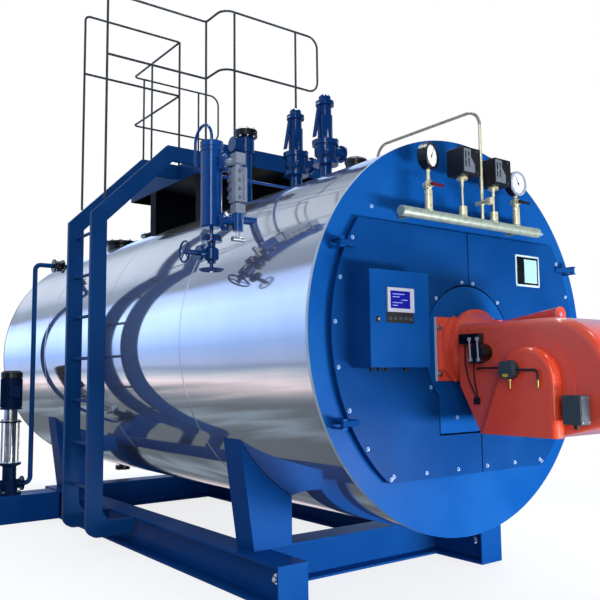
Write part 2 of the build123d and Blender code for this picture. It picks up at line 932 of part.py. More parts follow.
def water_column():
    """The level column: ringed top, gauge branches, cock and tap, and its two ways to the shell."""
    height = column_top - column_bottom
    profile = [(column_radius - column_base_height, 0), (column_radius, column_base_height)]
    for low, high in column_ring_heights:
        low_z = low - column_bottom
        high_z = min(high - column_bottom, height)
        profile += [(column_radius, low_z), (column_radius + column_ring, low_z),
                    (column_radius + column_ring, high_z), (column_radius, high_z)]
    column = turned(profile[:-1], (column_x, column_y, column_bottom))
    for z in (branch_low, branch_high):
        column += rod((column_x, column_y, z), toward_gauge(branch_flange_far, z), branch_radius)
        column += rod(toward_gauge(branch_flange_near, z), toward_gauge(branch_flange_far, z),
                      branch_flange_radius)
    gauge_x = column_x + level_gauge_right
    front_y = column_y - level_gauge_forward
    column += rod((column_x, column_y, branch_low), (gauge_x, front_y, branch_low), branch_radius)
    cock_top = level_cock_top - seat_gap
    column += rod((gauge_x, front_y, level_cock_low), (gauge_x, front_y, cock_top), level_cock_radius)
    column += rod((gauge_x, front_y, level_drain_height), (gauge_x, front_y, level_cock_low),
                  level_drain_radius)
    column += rod((gauge_x - level_tap_reach, front_y, level_drain_height),
                  (gauge_x + level_tap_reach, front_y, level_drain_height), level_tap_radius)
    column += rod((column_x, column_y, column_to_shell_height),
                  (-shell_height(column_to_shell_height) + entry_depth, column_y,
                   column_to_shell_height), column_to_shell_radius)
    behind = column_y + arch_back
    entry_x = -shell_height(arch_entry_height) + entry_depth
    column += pipe([(column_x, column_y, column_top - entry_depth), (column_x, column_y, arch_top),
                    (column_x, behind, arch_top), (column_x, behind, arch_entry_height),
                    (entry_x, behind, arch_entry_height)],
                   arch_radius, [arch_bend, arch_bend, arch_elbow])
    return column - shell_bore(column_y, 2 * arch_back)


def level_gauge():
    """The reflex level gauge: covered body between two heads."""
    x = column_x + level_gauge_right
    y = column_y - level_gauge_forward
    half = level_body_width / 2
    body = block((x - half, x + half), (y - half, y + half), level_body_heights)
    inner = half - level_cover
    body -= block((x - half / 2, x + half / 2), (y - half, y - inner),
                  (level_body_heights[0] + level_cover, level_body_heights[1] - level_cover))
    head = level_head_width / 2
    for low, high in level_head_heights:
        body += block((x - head, x + head), (y - head, y + head), (low, high))
    body += rod((x, y, level_head_heights[0][1]), (x, y, level_head_heights[1][0]),
                level_neck_radius)
    body += rod(toward_gauge(branch_flange_far + seat_gap, branch_high), (x, y, branch_high),
                level_neck_radius)
    return body


def blowdown_valve():
    """The drain valve under the water column, with stems for its two handwheels."""
    top = (column_x, column_y, column_bottom - seat_gap)
    stem_end = 1.5 * wheel_rim + seat_gap
    valve = turned(blowdown_profile, top, (0, 0, -1))
    valve += rod((column_x, column_y, bottom_wheel_z + stem_end), top, side_stem_radius - 4)
    start = (column_x, column_y, side_wheel_z)
    end = (column_x - side_wheel_reach + stem_end, column_y, side_wheel_z)
    valve += rod(start, end, side_stem_radius)
    bonnet = column_x - side_bonnet_reach
    valve += rod((bonnet - side_bonnet_thickness, column_y, side_wheel_z),
                 (bonnet, column_y, side_wheel_z), side_bonnet_radius)
    return valve


def safety_valve(y):
    """A spring safety valve on its nozzle, outlet to the right and test lever to the left."""
    base = shell_height(safety_valve_profile[0][0]) - seat_gap
    valve = turned(safety_valve_profile, (0, y, base))
    z = base + valve_outlet_height
    reach = valve_outlet_reach
    valve += rod((0, y, z), (reach, y, z), valve_outlet_radius)
    valve += rod((reach, y, z), (reach + valve_outlet_flange_thickness, y, z), valve_outlet_flange)
    top_x = -safety_valve_profile[-3][0]
    foot_x = -valve_outlet_flange - valve_lever_lean + valve_lever_thickness
    top = base + valve_lever_top
    foot = base + valve_lever_bottom
    blade = outline((0, top + valve_lever_width), (top_x - valve_lever_thickness, top),
                    (foot_x - valve_lever_thickness, foot), (foot_x, foot), (top_x, top - valve_lever_width),
                    (0, top - valve_lever_width))
    valve += front_slab(blade, y + valve_lever_width / 2, valve_lever_width)
    return valve - shell_bore(y, 2 * valve_outlet_reach)


def steam_outlet():
    """The steam outlet: stop valve with its side bonnet, under a pair of flanges."""
    x = steam_outlet_x
    y = steam_outlet_y
    top = shell_radius + outlet_rise
    plate = outlet_flange_thickness
    low = shell_height(abs(x) + outlet_radius) - entry_depth
    outlet = rod((x, y, low), (x, y, top), outlet_radius)
    for level in (top - plate, top - 2 * plate - outlet_flange_gap):
        outlet += rod((x, y, level), (x, y, level + plate), outlet_flange_radius)
    z = top - outlet_side_drop
    outlet += rod((x, y, z - outlet_body_height / 2), (x, y, z + outlet_body_height / 2),
                  outlet_body_radius)
    outlet += rod((x - outlet_side_reach, y, z), (x, y, z), outlet_side_radius - plate / 2)
    outlet += rod((x - outlet_side_reach, y, z), (x - outlet_side_reach + plate, y, z),
                  outlet_side_radius)
    return outlet - shell_bore(y, 2 * outlet_side_reach)


def top_fitting(x, y, profile):
    """A turned neck, lid or cap on the shell's top."""
    radius = profile[0][0]
    low = shell_height(abs(x) + radius) - shell_radius
    widened = [(radius, low)] + list(profile[1:])
    return turned(widened, (x, y, shell_radius)) - shell_bore(y, 2 * radius)


def drain_nozzle():
    """The flanged drain under the shell's rear end."""
    y = shell_length - drain_from_rear
    fitting = turned(drain_profile, (0, y, -shell_height(drain_profile[0][0])), (0, 0, -1))
    return fitting - shell_bore(y, 2 * drain_profile[2][0])


def feed_pump():
    """The upright multistage pump: foot, ports, tie-rodded column and motor."""
    base = -axis_height + pump_base_height
    pump = turned(pump_profile, (pump_x, pump_y, base))
    for step in range(tie_rod_count):
        angle = radians(360 / tie_rod_count * (step + 0.5))
        x = pump_x + tie_rod_circle * cos(angle)
        y = pump_y + tie_rod_circle * sin(angle)
        pump += rod((x, y, base + tie_rod_heights[0]), (x, y, base + tie_rod_heights[1]),
                    tie_rod_radius)
    z = base + pump_port_flange + feed_outlet_height / 2
    for side in (-1, 1):
        face = pump_x + side * pump_port_reach
        inner = face - side * pump_port_flange_thickness
        pump += rod((pump_x, pump_y, z), (face, pump_y, z), pump_port_radius)
        pump += rod((inner, pump_y, z), (face, pump_y, z), pump_port_flange)
    return pump


def feed_pipe():
    """The riser from the pump's outlet to the shell."""
    start = pump_x + pump_port_reach
    low = -axis_height + pump_base_height + pump_port_flange + feed_outlet_height / 2
    x = start + feed_pipe_gap
    end = -shell_height(feed_entry_height) + entry_depth
    run = pipe([(start + seat_gap, pump_y, low), (x, pump_y, low), (x, pump_y, feed_entry_height),
                (end, pump_y, feed_entry_height)], feed_pipe_radius, feed_pipe_bend)
    return run - shell_bore(pump_y, pump_base_half)


def check_valve():
    """The check valve's body round the feed pipe's upper run."""
    body = turned(check_valve_profile, (check_valve_x, pump_y, feed_entry_height), (1, 0, 0))
    half = check_valve_profile[-1][1]
    bore = rod((check_valve_x - half, pump_y, feed_entry_height),
               (check_valve_x + half, pump_y, feed_entry_height), feed_pipe_radius + seat_gap)
    return body - bore


def burner_flange():
    """The burner's mounting plate, its square block with cut corners, and the round ring."""
    z = -burner_axis_drop
    front = -door_stand_off - door_thickness - seat_gap
    plate = between(-flange_half_width, flange_half_width, z - flange_half_height,
                    z + flange_half_height)
    half = throat_block_half
    square = chamfer((Pos(0, z) * Rectangle(2 * half, 2 * flange_half_height)).vertices(),
                     throat_block_corner)
    block_back = front - flange_plate
    ring_back = block_back - throat_block_depth
    return (front_slab(plate, front, flange_plate)
            + front_slab(square, block_back, throat_block_depth)
            + disc(ring_radius, ring_back - ring_depth, ring_back, 0, z))


def burner_profile():
    """The side outline of the burner's main casing, in Y and Z."""
    rear = head_back - head_length / 2
    face = outline(
        (rear, casing_top),
        (casing_front, casing_top),
        (casing_front, casing_nose_low),
        (casing_belly, casing_bottom),
        (casing_heel, casing_bottom),
        (rear, casing_neck_low),
    )
    for corner, radius in (((casing_front, casing_top), casing_brow),
                           ((casing_front, casing_nose_low), casing_chin)):
        face = fillet(face.vertices().sort_by_distance((*corner, 0))[0], radius)
    return face


def burner_housing():
    """The burner's casing: conical head, rounded box and the raised cover of the fan."""
    casing = across(burner_profile(), burner_left, burner_right)
    sides = casing.edges().filter_by_position(Axis.X, burner_left, burner_left)
    sides += casing.edges().filter_by_position(Axis.X, burner_right, burner_right)
    casing = fillet(sides.filter_by_position(Axis.Y, casing_front, casing_belly + 1), casing_round)
    head = turned([(head_radius, 0), (head_front_radius, head_length)],
                  (0, head_back, -burner_axis_drop), (0, -1, 0))
    cover_circle = Pos(fan_cover_y, fan_cover_z) * Circle(fan_cover_radius)
    window = between(fan_cover_y - fan_cover_radius, actuator_y - actuator_radius - fan_cover_proud,
                     casing_bottom + fan_cover_proud, casing_top - fan_cover_proud)
    cover = across(cover_circle & window, burner_left - fan_cover_proud, burner_left + fan_cover_proud)
    return casing + head + cover


def hood_profile():
    """The side outline of the air intake hood, in Y and Z."""
    rear_corner = (hood_rear_top, hood_top)
    front_corner = (hood_front, hood_top)
    face = outline((hood_rear, hood_bottom), rear_corner, front_corner, (hood_front, hood_bottom))
    for corner, radius in ((rear_corner, hood_rear_arch), (front_corner, hood_front_arch)):
        face = fillet(face.vertices().sort_by_distance((*corner, 0))[0], radius)
    return face


def burner_air_hood():
    """The air intake hood: an arched duct end with a round outer edge."""
    hood = across(hood_profile(), hood_left, burner_left - fan_cover_proud - seat_gap)
    outer = hood.edges().filter_by_position(Axis.X, hood_left, hood_left)
    return fillet(outer.filter_by_position(Axis.Z, hood_bottom + seat_gap, hood_top), hood_round)


def burner_motor():
    """The round motor on the casing's top, tapered toward the boiler."""
    seat = casing_top + seat_gap
    front = Plane(origin=(motor_x, motor_front_y, seat + motor_radius), z_dir=(0, -1, 0))
    back = Plane(origin=(motor_x, motor_back_y, seat + motor_back_radius), z_dir=(0, -1, 0))
    motor = loft([back * Circle(motor_back_radius), front * Circle(motor_radius)])
    half = motor_foot / 2
    foot_y = motor_front_y + motor_foot
    return motor + block((motor_x - half, motor_x + half), (foot_y, foot_y + 2 * motor_foot),
                         (seat, seat + half))


def burner_actuator():
    """The air damper's servomotor with its terminal block above."""
    side = burner_left - seat_gap
    motor = rod((side - actuator_reach, actuator_y, actuator_z), (side, actuator_y, actuator_z),
                actuator_radius)
    terminal = block((side - terminal_proud, side), terminal_y, terminal_z)
    return motor + terminal


def pressure_switch():
    """The air pressure switch: diaphragm disc and housing on the hood."""
    side = hood_left - seat_gap
    seat = rod((side - switch_disc, switch_y, switch_z), (side, switch_y, switch_z), switch_disc_radius)
    housing = block((side - switch_proud, side - switch_disc),
                    (switch_y - switch_half, switch_y + switch_half),
                    (switch_z - switch_half, switch_z + switch_half))
    return seat + chamfer(housing.edges().filter_by(Axis.X), switch_disc)


def lead(points):
    """A clipped lead: straight runs joined by arcs as wide as the runs allow."""
    corners = [Vector(*point) for point in points]
    bends = []
    for before, corner, after in zip(corners, corners[1:], corners[2:]):
        first = corner - before
        second = after - corner
        turn = radians(first.get_angle(second))
        bends.append(lead_bend_share * min(first.length, second.length) / tan(turn / 2))
    return pipe(points, lead_radius, bends)


def burner_leads():
    """Two leads down the casing's side to one clip."""
    x = burner_left - seat_gap - lead_radius
    top = terminal_z[0] - seat_gap
    clip_top = lead_clip_z + lead_clip_half + seat_gap
    apart = lead_spacing / 2
    outer = [(x, lead_outer_y, top), *[(x, y, z) for y, z in lead_outer_path],
             (x, lead_clip_y + apart, clip_top)]
    inner = [(x, lead_inner_y, top), *[(x, y, z) for y, z in lead_inner_path],
             (x, lead_clip_y - apart, clip_top)]
    clip = block((x - 2 * lead_radius, burner_left - seat_gap),
                 (lead_clip_y - lead_clip_half, lead_clip_y + lead_clip_half),
                 (lead_clip_z - lead_clip_half, lead_clip_z + lead_clip_half))
    return Compound(children=[lead(outer), lead(inner), clip])


# Places that several pieces share
gauge_y = -manifold_forward
sheet_radius = shell_radius - cladding_wall - seat_gap
cabinet_back = -door_stand_off - door_thickness - seat_gap
cabinet_x = (cabinet_left, cabinet_left + cabinet_width)
cabinet_z = (cabinet_bottom, cabinet_bottom + cabinet_height)
cabinet_front = cabinet_back - cabinet_depth + cabinet_door_thickness
cabinet_door_back = cabinet_front - cabinet_door_gap
cabinet_door_front = cabinet_door_back - cabinet_door_thickness
cabinet_pin_x = cabinet_x[1] + cabinet_hinge_radius + cabinet_door_gap
cabinet_pin_y = cabinet_door_back - cabinet_hinge_radius - cabinet_door_gap
head_back = -door_stand_off - door_thickness - flange_plate - throat_block_depth - ring_depth
head_back -= 2 * seat_gap
hood_bottom = casing_bottom + 1

pieces = {}

# Skid and saddles
pieces["skid_beam_left"] = skid_beam(-1)
pieces["skid_beam_right"] = skid_beam(1)
pieces["skid_cross_front"] = cross_beam(cross_front_y)
pieces["skid_cross_rear"] = cross_beam(cross_rear_y)
pieces["saddle_front_left"] = saddle(-1, saddle_front_y)
pieces["saddle_front_right"] = saddle(1, saddle_front_y)
pieces["saddle_rear_left"] = saddle(-1, saddle_rear_y)
pieces["saddle_rear_right"] = saddle(1, saddle_rear_y)

# Shell and ends
cladding = disc(shell_radius, plate_thickness + seat_gap, shell_length - plate_thickness - seat_gap)
pieces["shell_cladding"] = cladding - disc(shell_radius - cladding_wall, 0, shell_length)
pieces["front_plate"] = front_plate()
pieces["rear_plate"] = rear_plate()
pieces["tube_sheet"] = tube_sheet()
pieces["furnace_throat"] = furnace_throat()
pieces["burner_plate"] = front_slab(keyhole(0), -seat_gap, door_stand_off + door_thickness - seat_gap)

# Doors
pieces["front_door_left"] = door(-1)
pieces["front_door_right"] = door(1)
brackets = [hinge_bracket(side, height) for side in (-1, 1) for height in hinge_heights]
pieces["door_hinges"] = Compound(children=brackets)

# Control cabinet
pieces["control_cabinet"] = cabinet_body()
pieces["cabinet_door"] = cabinet_door()
pieces["cabinet_display"] = cabinet_display()

# Burner
pieces["burner_flange"] = burner_flange()
pieces["burner_housing"] = burner_housing()
pieces["burner_air_hood"] = burner_air_hood()
pieces["burner_motor"] = burner_motor()
side_x = burner_left - fan_cover_proud - seat_gap
pieces["burner_junction_box"] = block((side_x - junction_proud, side_x), junction_y, junction_z)
pieces["burner_actuator"] = burner_actuator()
pieces["pressure_switch"] = pressure_switch()
pieces["burner_leads"] = burner_leads()

# Front fittings
pieces["gauge_manifold"] = manifold()
pieces["pressure_gauge_left"] = gauge(gauge_left_x, gauge_left_height, gauge_left_turn)
pieces["pressure_gauge_right"] = gauge(gauge_right_x, gauge_right_height, gauge_right_turn)
pieces["pressure_controller_left"] = controller(controller_left_x, controller_left_base)
pieces["pressure_controller_right"] = controller(controller_right_x, controller_right_base)
pieces["sensing_pipe"] = sensing_pipe()
pieces["gauge_lever_left"] = gauge_lever(gauge_left_x)
pieces["gauge_lever_right"] = gauge_lever(gauge_right_x)

# Water column
pieces["water_column"] = water_column()
pieces["level_gauge"] = level_gauge()
pieces["blowdown_valve"] = blowdown_valve()
side_place = Pos(column_x - side_wheel_reach, column_y, side_wheel_z) * Rot(Y=90)
pieces["side_handwheel"] = side_place * handwheel(side_wheel_radius, wheel_rim, wheel_hub)
bottom_place = Pos(column_x, column_y, bottom_wheel_z)
pieces["bottom_handwheel"] = bottom_place * handwheel(bottom_wheel_radius, wheel_rim, wheel_hub)

# Boiler top and underside
pieces["safety_valve_front"] = safety_valve(valve_front_y)
pieces["safety_valve_rear"] = safety_valve(valve_rear_y)
pieces["steam_outlet"] = steam_outlet()
pieces["inspection_cap"] = top_fitting(0, cap_y, cap_profile)
pieces["manhole_cover"] = top_fitting(manhole_x, shell_length - manhole_from_rear, manhole_profile)
pieces["flue_nozzle"] = top_fitting(flue_x, shell_length - flue_from_rear, flue_profile)
pieces["drain_nozzle"] = drain_nozzle()

# Ladder, platform and rails
pieces["ladder_stile_near"] = stringer(ladder_near_y)
pieces["ladder_stile_far"] = stringer(ladder_near_y + ladder_width)
pieces["ladder_rungs"] = ladder_rungs()
pieces["platform_deck"] = platform_deck()
pieces["platform_support_front"] = platform_support(support_front_y)
pieces["platform_support_rear"] = platform_support(support_rear_y)
pieces["handrail_near"] = handrail_near()
pieces["handrail_far"] = handrail_far()

# Feed water
pieces["feed_pump"] = feed_pump()
pump_y_range = (pump_y - pump_base_half, pump_y + pump_base_half)
pieces["pump_base"] = block((pump_x - pump_base_half, -beam_outer_half - seat_gap), pump_y_range,
                            (-axis_height, -axis_height + pump_base_height - seat_gap))
pieces["feed_pipe"] = feed_pipe()
pieces["check_valve"] = check_valve()

os.makedirs("parts", exist_ok=True)
on_floor = Pos(0, -front_overhang, axis_height)
for name, piece in pieces.items():
    export_step(on_floor * piece, f"parts/{name}.step")
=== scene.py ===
import bmesh
import bpy
import json
import math
import numpy as np
from mathutils import Matrix

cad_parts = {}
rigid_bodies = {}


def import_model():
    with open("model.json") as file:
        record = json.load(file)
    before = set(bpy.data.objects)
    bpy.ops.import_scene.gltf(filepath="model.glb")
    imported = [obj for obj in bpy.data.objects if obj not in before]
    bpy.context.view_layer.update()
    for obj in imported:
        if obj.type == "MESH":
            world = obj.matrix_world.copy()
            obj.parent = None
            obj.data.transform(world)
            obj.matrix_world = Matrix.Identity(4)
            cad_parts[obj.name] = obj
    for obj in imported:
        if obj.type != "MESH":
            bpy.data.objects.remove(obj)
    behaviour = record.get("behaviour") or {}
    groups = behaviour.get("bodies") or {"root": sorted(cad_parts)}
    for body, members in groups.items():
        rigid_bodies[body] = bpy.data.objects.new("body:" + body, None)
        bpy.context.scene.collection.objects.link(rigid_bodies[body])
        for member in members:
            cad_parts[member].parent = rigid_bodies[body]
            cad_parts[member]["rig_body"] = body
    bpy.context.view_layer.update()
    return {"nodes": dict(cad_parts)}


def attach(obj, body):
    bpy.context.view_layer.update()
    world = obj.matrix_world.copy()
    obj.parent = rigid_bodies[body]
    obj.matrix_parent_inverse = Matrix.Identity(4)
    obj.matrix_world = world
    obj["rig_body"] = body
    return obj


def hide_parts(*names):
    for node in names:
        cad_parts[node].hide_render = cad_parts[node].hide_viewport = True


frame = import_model()

# New pieces are worked out in millimetres in the shell frame of the CAD source: X across, Y back
# from the front plate's face, Z up from the shell axis. metres() turns them to the row frame.
FRONT_OVERHANG = 1035.0
AXIS_HEIGHT = 1465.0
SHELL_RADIUS = 1092.0
PLATE_RADIUS = 1100.0
DOOR_FACE = -34.0
SHIFT = np.array((0.0, -FRONT_OVERHANG, AXIS_HEIGHT))
X, Y, Z = np.eye(3)


def metres(points):
    """Shell-frame millimetres to row-frame metres: shift by the overhang and the axis height."""
    return (points + SHIFT) / 1000


def shell_points(elements, attribute):
    """The places of a mesh's vertices or faces in shell-frame millimetres."""
    points = np.empty(len(elements) * 3)
    elements.foreach_get(attribute, points)
    return points.reshape(-1, 3) * 1000 - SHIFT


# Shapes
# A shape is (points, faces): an N by 3 array and a list of vertex index lists.

def joined(*shapes):
    """Several shapes as one: the points stacked, the faces shifted past the earlier points."""
    points, faces, count = [], [], 0
    for more, polygons in shapes:
        points.append(more)
        faces += [[i + count for i in polygon] for polygon in polygons]
        count += len(more)
    return np.vstack(points), faces


def grid(points, wrap_u=False, wrap_v=False):
    """A grid of points as quads; a wrapped side joins its last row to its first."""
    m, n = points.shape[:2]
    u, v = np.meshgrid(np.arange(m - (not wrap_u)), np.arange(n - (not wrap_v)), indexing="ij")
    right, up = (u + 1) % m, (v + 1) % n
    quads = np.stack([u * n + v, right * n + v, right * n + up, u * n + up], -1)
    return points.reshape(-1, 3), quads.reshape(-1, 4).tolist()


def frame_of(axis):
    """Two unit vectors square to an axis, which make a right-handed set with it."""
    axis = axis / np.linalg.norm(axis)
    side = np.cross(axis, X if abs(axis[2]) > 0.9 else Z)
    side = side / np.linalg.norm(side)
    return side, np.cross(axis, side), axis


def turned(profile, base, axis, steps=32):
    """A turned piece: each (height, radius) of the profile makes a circle about the axis at base.

    Point = base + height * axis + radius * (cos t * side + sin t * other side).
    """
    side, other, axis = frame_of(axis)
    height, radius = np.array(profile, float).T
    t = np.linspace(0, 2 * np.pi, steps, endpoint=False)
    ring = np.cos(t)[:, None] * side + np.sin(t)[:, None] * other
    points = base + height[:, None, None] * axis + radius[:, None, None] * ring
    shape, faces = grid(points, wrap_v=True)
    last = (len(profile) - 1) * steps
    if radius[0] > 0:
        faces.append(list(range(steps))[::-1])
    if radius[-1] > 0:
        faces.append(list(range(last, last + steps)))
    return shape, [face[::-1] for face in faces]


def bar(start, end, radius, steps=20, round_edge=0.0):
    """A round bar between two points, its rims eased by a small radius."""
    way = np.subtract(end, start)
    length = np.linalg.norm(way)
    ease = min(round_edge, radius * 0.5, length * 0.3)
    profile = [(0, radius - ease), (ease, radius), (length - ease, radius), (length, radius - ease)]
    if not ease:
        profile = [(0, radius), (length, radius)]
    return turned(profile, start, way, steps)


def rounded_path(corners, bend, steps=8):
    """A polyline with each inner corner replaced by a circular arc of the given radius."""
    corners = np.array(corners, float)
    t = np.linspace(0, 1, steps + 1)[:, None]
    path = [corners[0]]
    for before, at, after in zip(corners, corners[1:], corners[2:]):
        one = (before - at) / np.linalg.norm(before - at)
        two = (after - at) / np.linalg.norm(after - at)
        half = np.arccos(np.clip(one @ two, -1, 1)) / 2
        centre = at + (one + two) / np.linalg.norm(one + two) * bend / np.sin(half)
        start = at + one * bend / np.tan(half) - centre
        end = at + two * bend / np.tan(half) - centre
        sweep = np.arccos(np.clip(start @ end / bend ** 2, -1, 1))
        path += list(centre + (np.sin((1 - t) * sweep) * start + np.sin(t * sweep) * end) / np.sin(sweep))
    path.append(corners[-1])
    return np.array(path)


def tube(path, radius, sides=14):
    """A round tube along a path: each ring is the last one, turned by the least amount."""
    way = np.gradient(path, axis=0)
    way /= np.linalg.norm(way, axis=1)[:, None]
    side = frame_of(way[0])[0]
    t = np.linspace(0, 2 * np.pi, sides, endpoint=False)
    rings = []
    for point, direction in zip(path, way):
        side = side - (side @ direction) * direction
        side /= np.linalg.norm(side)
        other = np.cross(direction, side)
        rings.append(point + radius * (np.cos(t)[:, None] * side + np.sin(t)[:, None] * other))
    shape, faces = grid(np.array(rings), wrap_v=True)
    last = (len(path) - 1) * sides
    faces += [list(range(sides))[::-1], list(range(last, last + sides))]
    return shape, [face[::-1] for face in faces]


def prism(outline, origin, across, up, depth):
    """A flat outline (a, b), origin + a * across + b * up, carried depth far along across x up."""
    outline = np.array(outline, float)
    through = np.cross(across, up)
    front = origin + outline[:, :1] * across + outline[:, 1:] * up
    n = len(outline)
    sides = [[i, (i + 1) % n, (i + 1) % n + n, i + n] for i in range(n)]
    faces = sides + [list(range(n))[::-1], list(range(n, 2 * n))]
    area = np.sum(outline[:, 0] * np.roll(outline[:, 1], -1) - outline[:, 1] * np.roll(outline[:, 0], -1))
    if area < 0:
        faces = [face[::-1] for face in faces]
    return np.vstack([front, front + depth * through]), faces


def box(x, y, z):
    """A rectangular block from its low and high value on each axis."""
    outline = [(x[0], z[0]), (x[1], z[0]), (x[1], z[1]), (x[0], z[1])]
    return prism(outline, (0, y[1], 0), X, Z, y[1] - y[0])


def nut(at, axis, across_flats, height):
    """A hexagon nut or bolt head standing on a face, with its crown eased."""
    corner = across_flats / math.sqrt(3)
    return turned([(0, corner), (height * 0.8, corner), (height, corner * 0.86)], at, axis, 6)


# Pieces

SAME_PLACE = 2e-5  # metres
SAME_PLANE = math.radians(0.4)


def piece(name, shape, material, body="root", flat=30, edge=0.0, replaces=()):
    """Puts a shape into the scene as a finished piece that rides on a CAD body."""
    points, faces = shape
    mesh = bpy.data.meshes.new(name)
    mesh.from_pydata(metres(points).tolist(), [], faces)
    finished(name, mesh, material, body, flat, edge, replaces)


def merged(mesh, whole_faces=False):
    """Closes seams and poles; a CAD form also has its flat faces made whole."""
    work = bmesh.new()
    work.from_mesh(mesh)
    bmesh.ops.remove_doubles(work, verts=work.verts, dist=SAME_PLACE)
    if whole_faces:
        bmesh.ops.dissolve_limit(work, angle_limit=SAME_PLANE, verts=work.verts, edges=work.edges)
    else:
        bmesh.ops.dissolve_degenerate(work, edges=work.edges, dist=1e-6)
    work.to_mesh(mesh)
    work.free()


def placed(name, data):
    """A new object in the scene."""
    shown = bpy.data.objects.new(name, data)
    bpy.context.scene.collection.objects.link(shown)
    return shown


def finished(name, mesh, material, body, flat, edge, replaces):
    """Smooths all but the edges sharper than flat (degrees), eases those by a bevel of the width
    edge (mm), and says what the piece rides on and replaces."""
    merged(mesh)
    mesh.materials.append(material)
    mesh.shade_smooth()
    mesh.set_sharp_from_angle(angle=math.radians(flat))
    shown = placed(name, mesh)
    if edge:
        ease = shown.modifiers.new("eased edges", "BEVEL")
        ease.width = edge / 1000
        ease.segments = 2
        ease.limit_method = "ANGLE"
        ease.angle_limit = math.radians(flat)
        ease.harden_normals = True
    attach(shown, body)
    if replaces:
        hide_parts(*replaces)


def dressed(node, material, edge, flat):
    """A CAD node's own form as a finished piece, merged so that its edges can be eased."""
    source = frame["nodes"][node]
    mesh = bpy.data.meshes.new(node + "_form")
    mesh.from_pydata([v.co[:] for v in source.data.vertices], [],
                     [p.vertices[:] for p in source.data.polygons])
    merged(mesh, whole_faces=True)
    finished(node + "_finished", mesh, material, source["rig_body"], flat, edge, [node])


# Materials

def linear(hex_colour):
    """An sRGB hex colour as linear red, green, blue and alpha."""
    value = np.array([int(hex_colour[i:i + 2], 16) for i in (1, 3, 5)]) / 255
    light = np.where(value <= 0.04045, value / 12.92, ((value + 0.055) / 1.055) ** 2.4)
    return (*light.tolist(), 1.0)


def feed(tree, node, inputs):
    """Gives a node its inputs, by name or in order, each a value or the socket it is linked to."""
    for key, value in inputs.items() if isinstance(inputs, dict) else enumerate(inputs):
        if isinstance(value, bpy.types.NodeSocket):
            tree.links.new(value, node.inputs[key])
        else:
            node.inputs[key].default_value = value


def add(tree, kind, inputs=(), **settings):
    """Adds a shader node with its settings and inputs, and gives the first output that it uses."""
    made = tree.nodes.new("ShaderNode" + kind)
    for key, value in settings.items():
        setattr(made, key, value)
    feed(tree, made, inputs)
    return next(output for output in made.outputs if output.enabled)


def surface(name):
    """A new material, its tree, its Principled shader and the piece's Object coordinates. A noise
    in these has patches of so many millimetres where its scale is 1000 over that."""
    material = bpy.data.materials.new(name)
    material.use_nodes = True
    tree = material.node_tree
    place = add(tree, "TexCoord").node.outputs["Object"]
    return material, tree, tree.nodes["Principled BSDF"], place


def enamel(name, hex_colour, dusty_hex, roughness=0.3, specular=0.08, coat=0.0, peel=0.05):
    """Sprayed enamel on steel: a smooth skin with faint orange peel, a little shop dust in broad
    patches and a fine scatter of specks; the peel is drawn 9 mm wide so that it shows."""
    material, tree, shader, place = surface(name)
    broad = add(tree, "TexNoise", {"Vector": place, "Scale": 1000 / 420, "Detail": 4})
    dust = add(tree, "MapRange", (broad, 0.42, 0.72))
    fine = add(tree, "TexNoise", {"Vector": place, "Scale": 1000 / 7})
    specks = add(tree, "MapRange", (fine, 0.66, 0.74, 0, 0.35))
    cover = add(tree, "Math", (dust, specks), operation="MAXIMUM")
    skin = add(tree, "TexNoise", {"Vector": place, "Scale": 1000 / 9, "Detail": 1})
    feed(tree, shader, {
        "Specular IOR Level": specular, "Coat Weight": coat, "Coat Roughness": 0.06,
        "Base Color": add(tree, "Mix", {"Factor": cover, "A": linear(hex_colour), "B": linear(dusty_hex)},
                          data_type="RGBA"),
        "Roughness": add(tree, "MapRange", (dust, 0, 1, roughness - 0.05, roughness + 0.09)),
        "Normal": add(tree, "Bump", {"Height": skin, "Distance": peel / 1000, "Strength": 1})})
    return material


def bare_metal(name, hex_colour, stain_hex, roughness, grain=(1, 1, 1), patch=60, metallic=1.0):
    """Bare or plated metal: fine tool grain along one axis, and soft stains from handling."""
    material, tree, shader, place = surface(name)
    along = add(tree, "Mapping", {"Vector": place, "Scale": grain})
    lines = add(tree, "TexNoise", {"Vector": along, "Scale": 1000 / 4, "Detail": 3, "Roughness": 0.6})
    broad = add(tree, "TexNoise", {"Vector": place, "Scale": 1000 / patch, "Detail": 3})
    stain = add(tree, "MapRange", (broad, 0.45, 0.75))
    feed(tree, shader, {
        "Metallic": metallic,
        "Base Color": add(tree, "Mix", {"Factor": stain, "A": linear(hex_colour), "B": linear(stain_hex)},
                          data_type="RGBA"),
        "Roughness": add(tree, "MapRange", (lines, 0.3, 0.7, roughness - 0.05, roughness + 0.08)),
        "Normal": add(tree, "Bump", {"Height": lines, "Distance": 0.03 / 1000, "Strength": 1})})
    return material


def moulded(name, hex_colour, roughness=0.45, grain_height=0.05, specular=0.4):
    """Moulded plastic or rubber: an even colour, a fine spark-eroded grain and dull handling."""
    material, tree, shader, place = surface(name)
    worn = add(tree, "TexNoise", {"Vector": place, "Scale": 1000 / 45, "Detail": 3})
    grain = add(tree, "TexNoise", {"Vector": place, "Scale": 1000 / 3})
    feed(tree, shader, {
        "Specular IOR Level": specular, "Base Color": linear(hex_colour),
        "Roughness": add(tree, "MapRange", (worn, 0.35, 0.7, roughness, roughness + 0.14)),
        "Normal": add(tree, "Bump", {"Height": grain, "Distance": grain_height / 1000, "Strength": 1})})
    return material


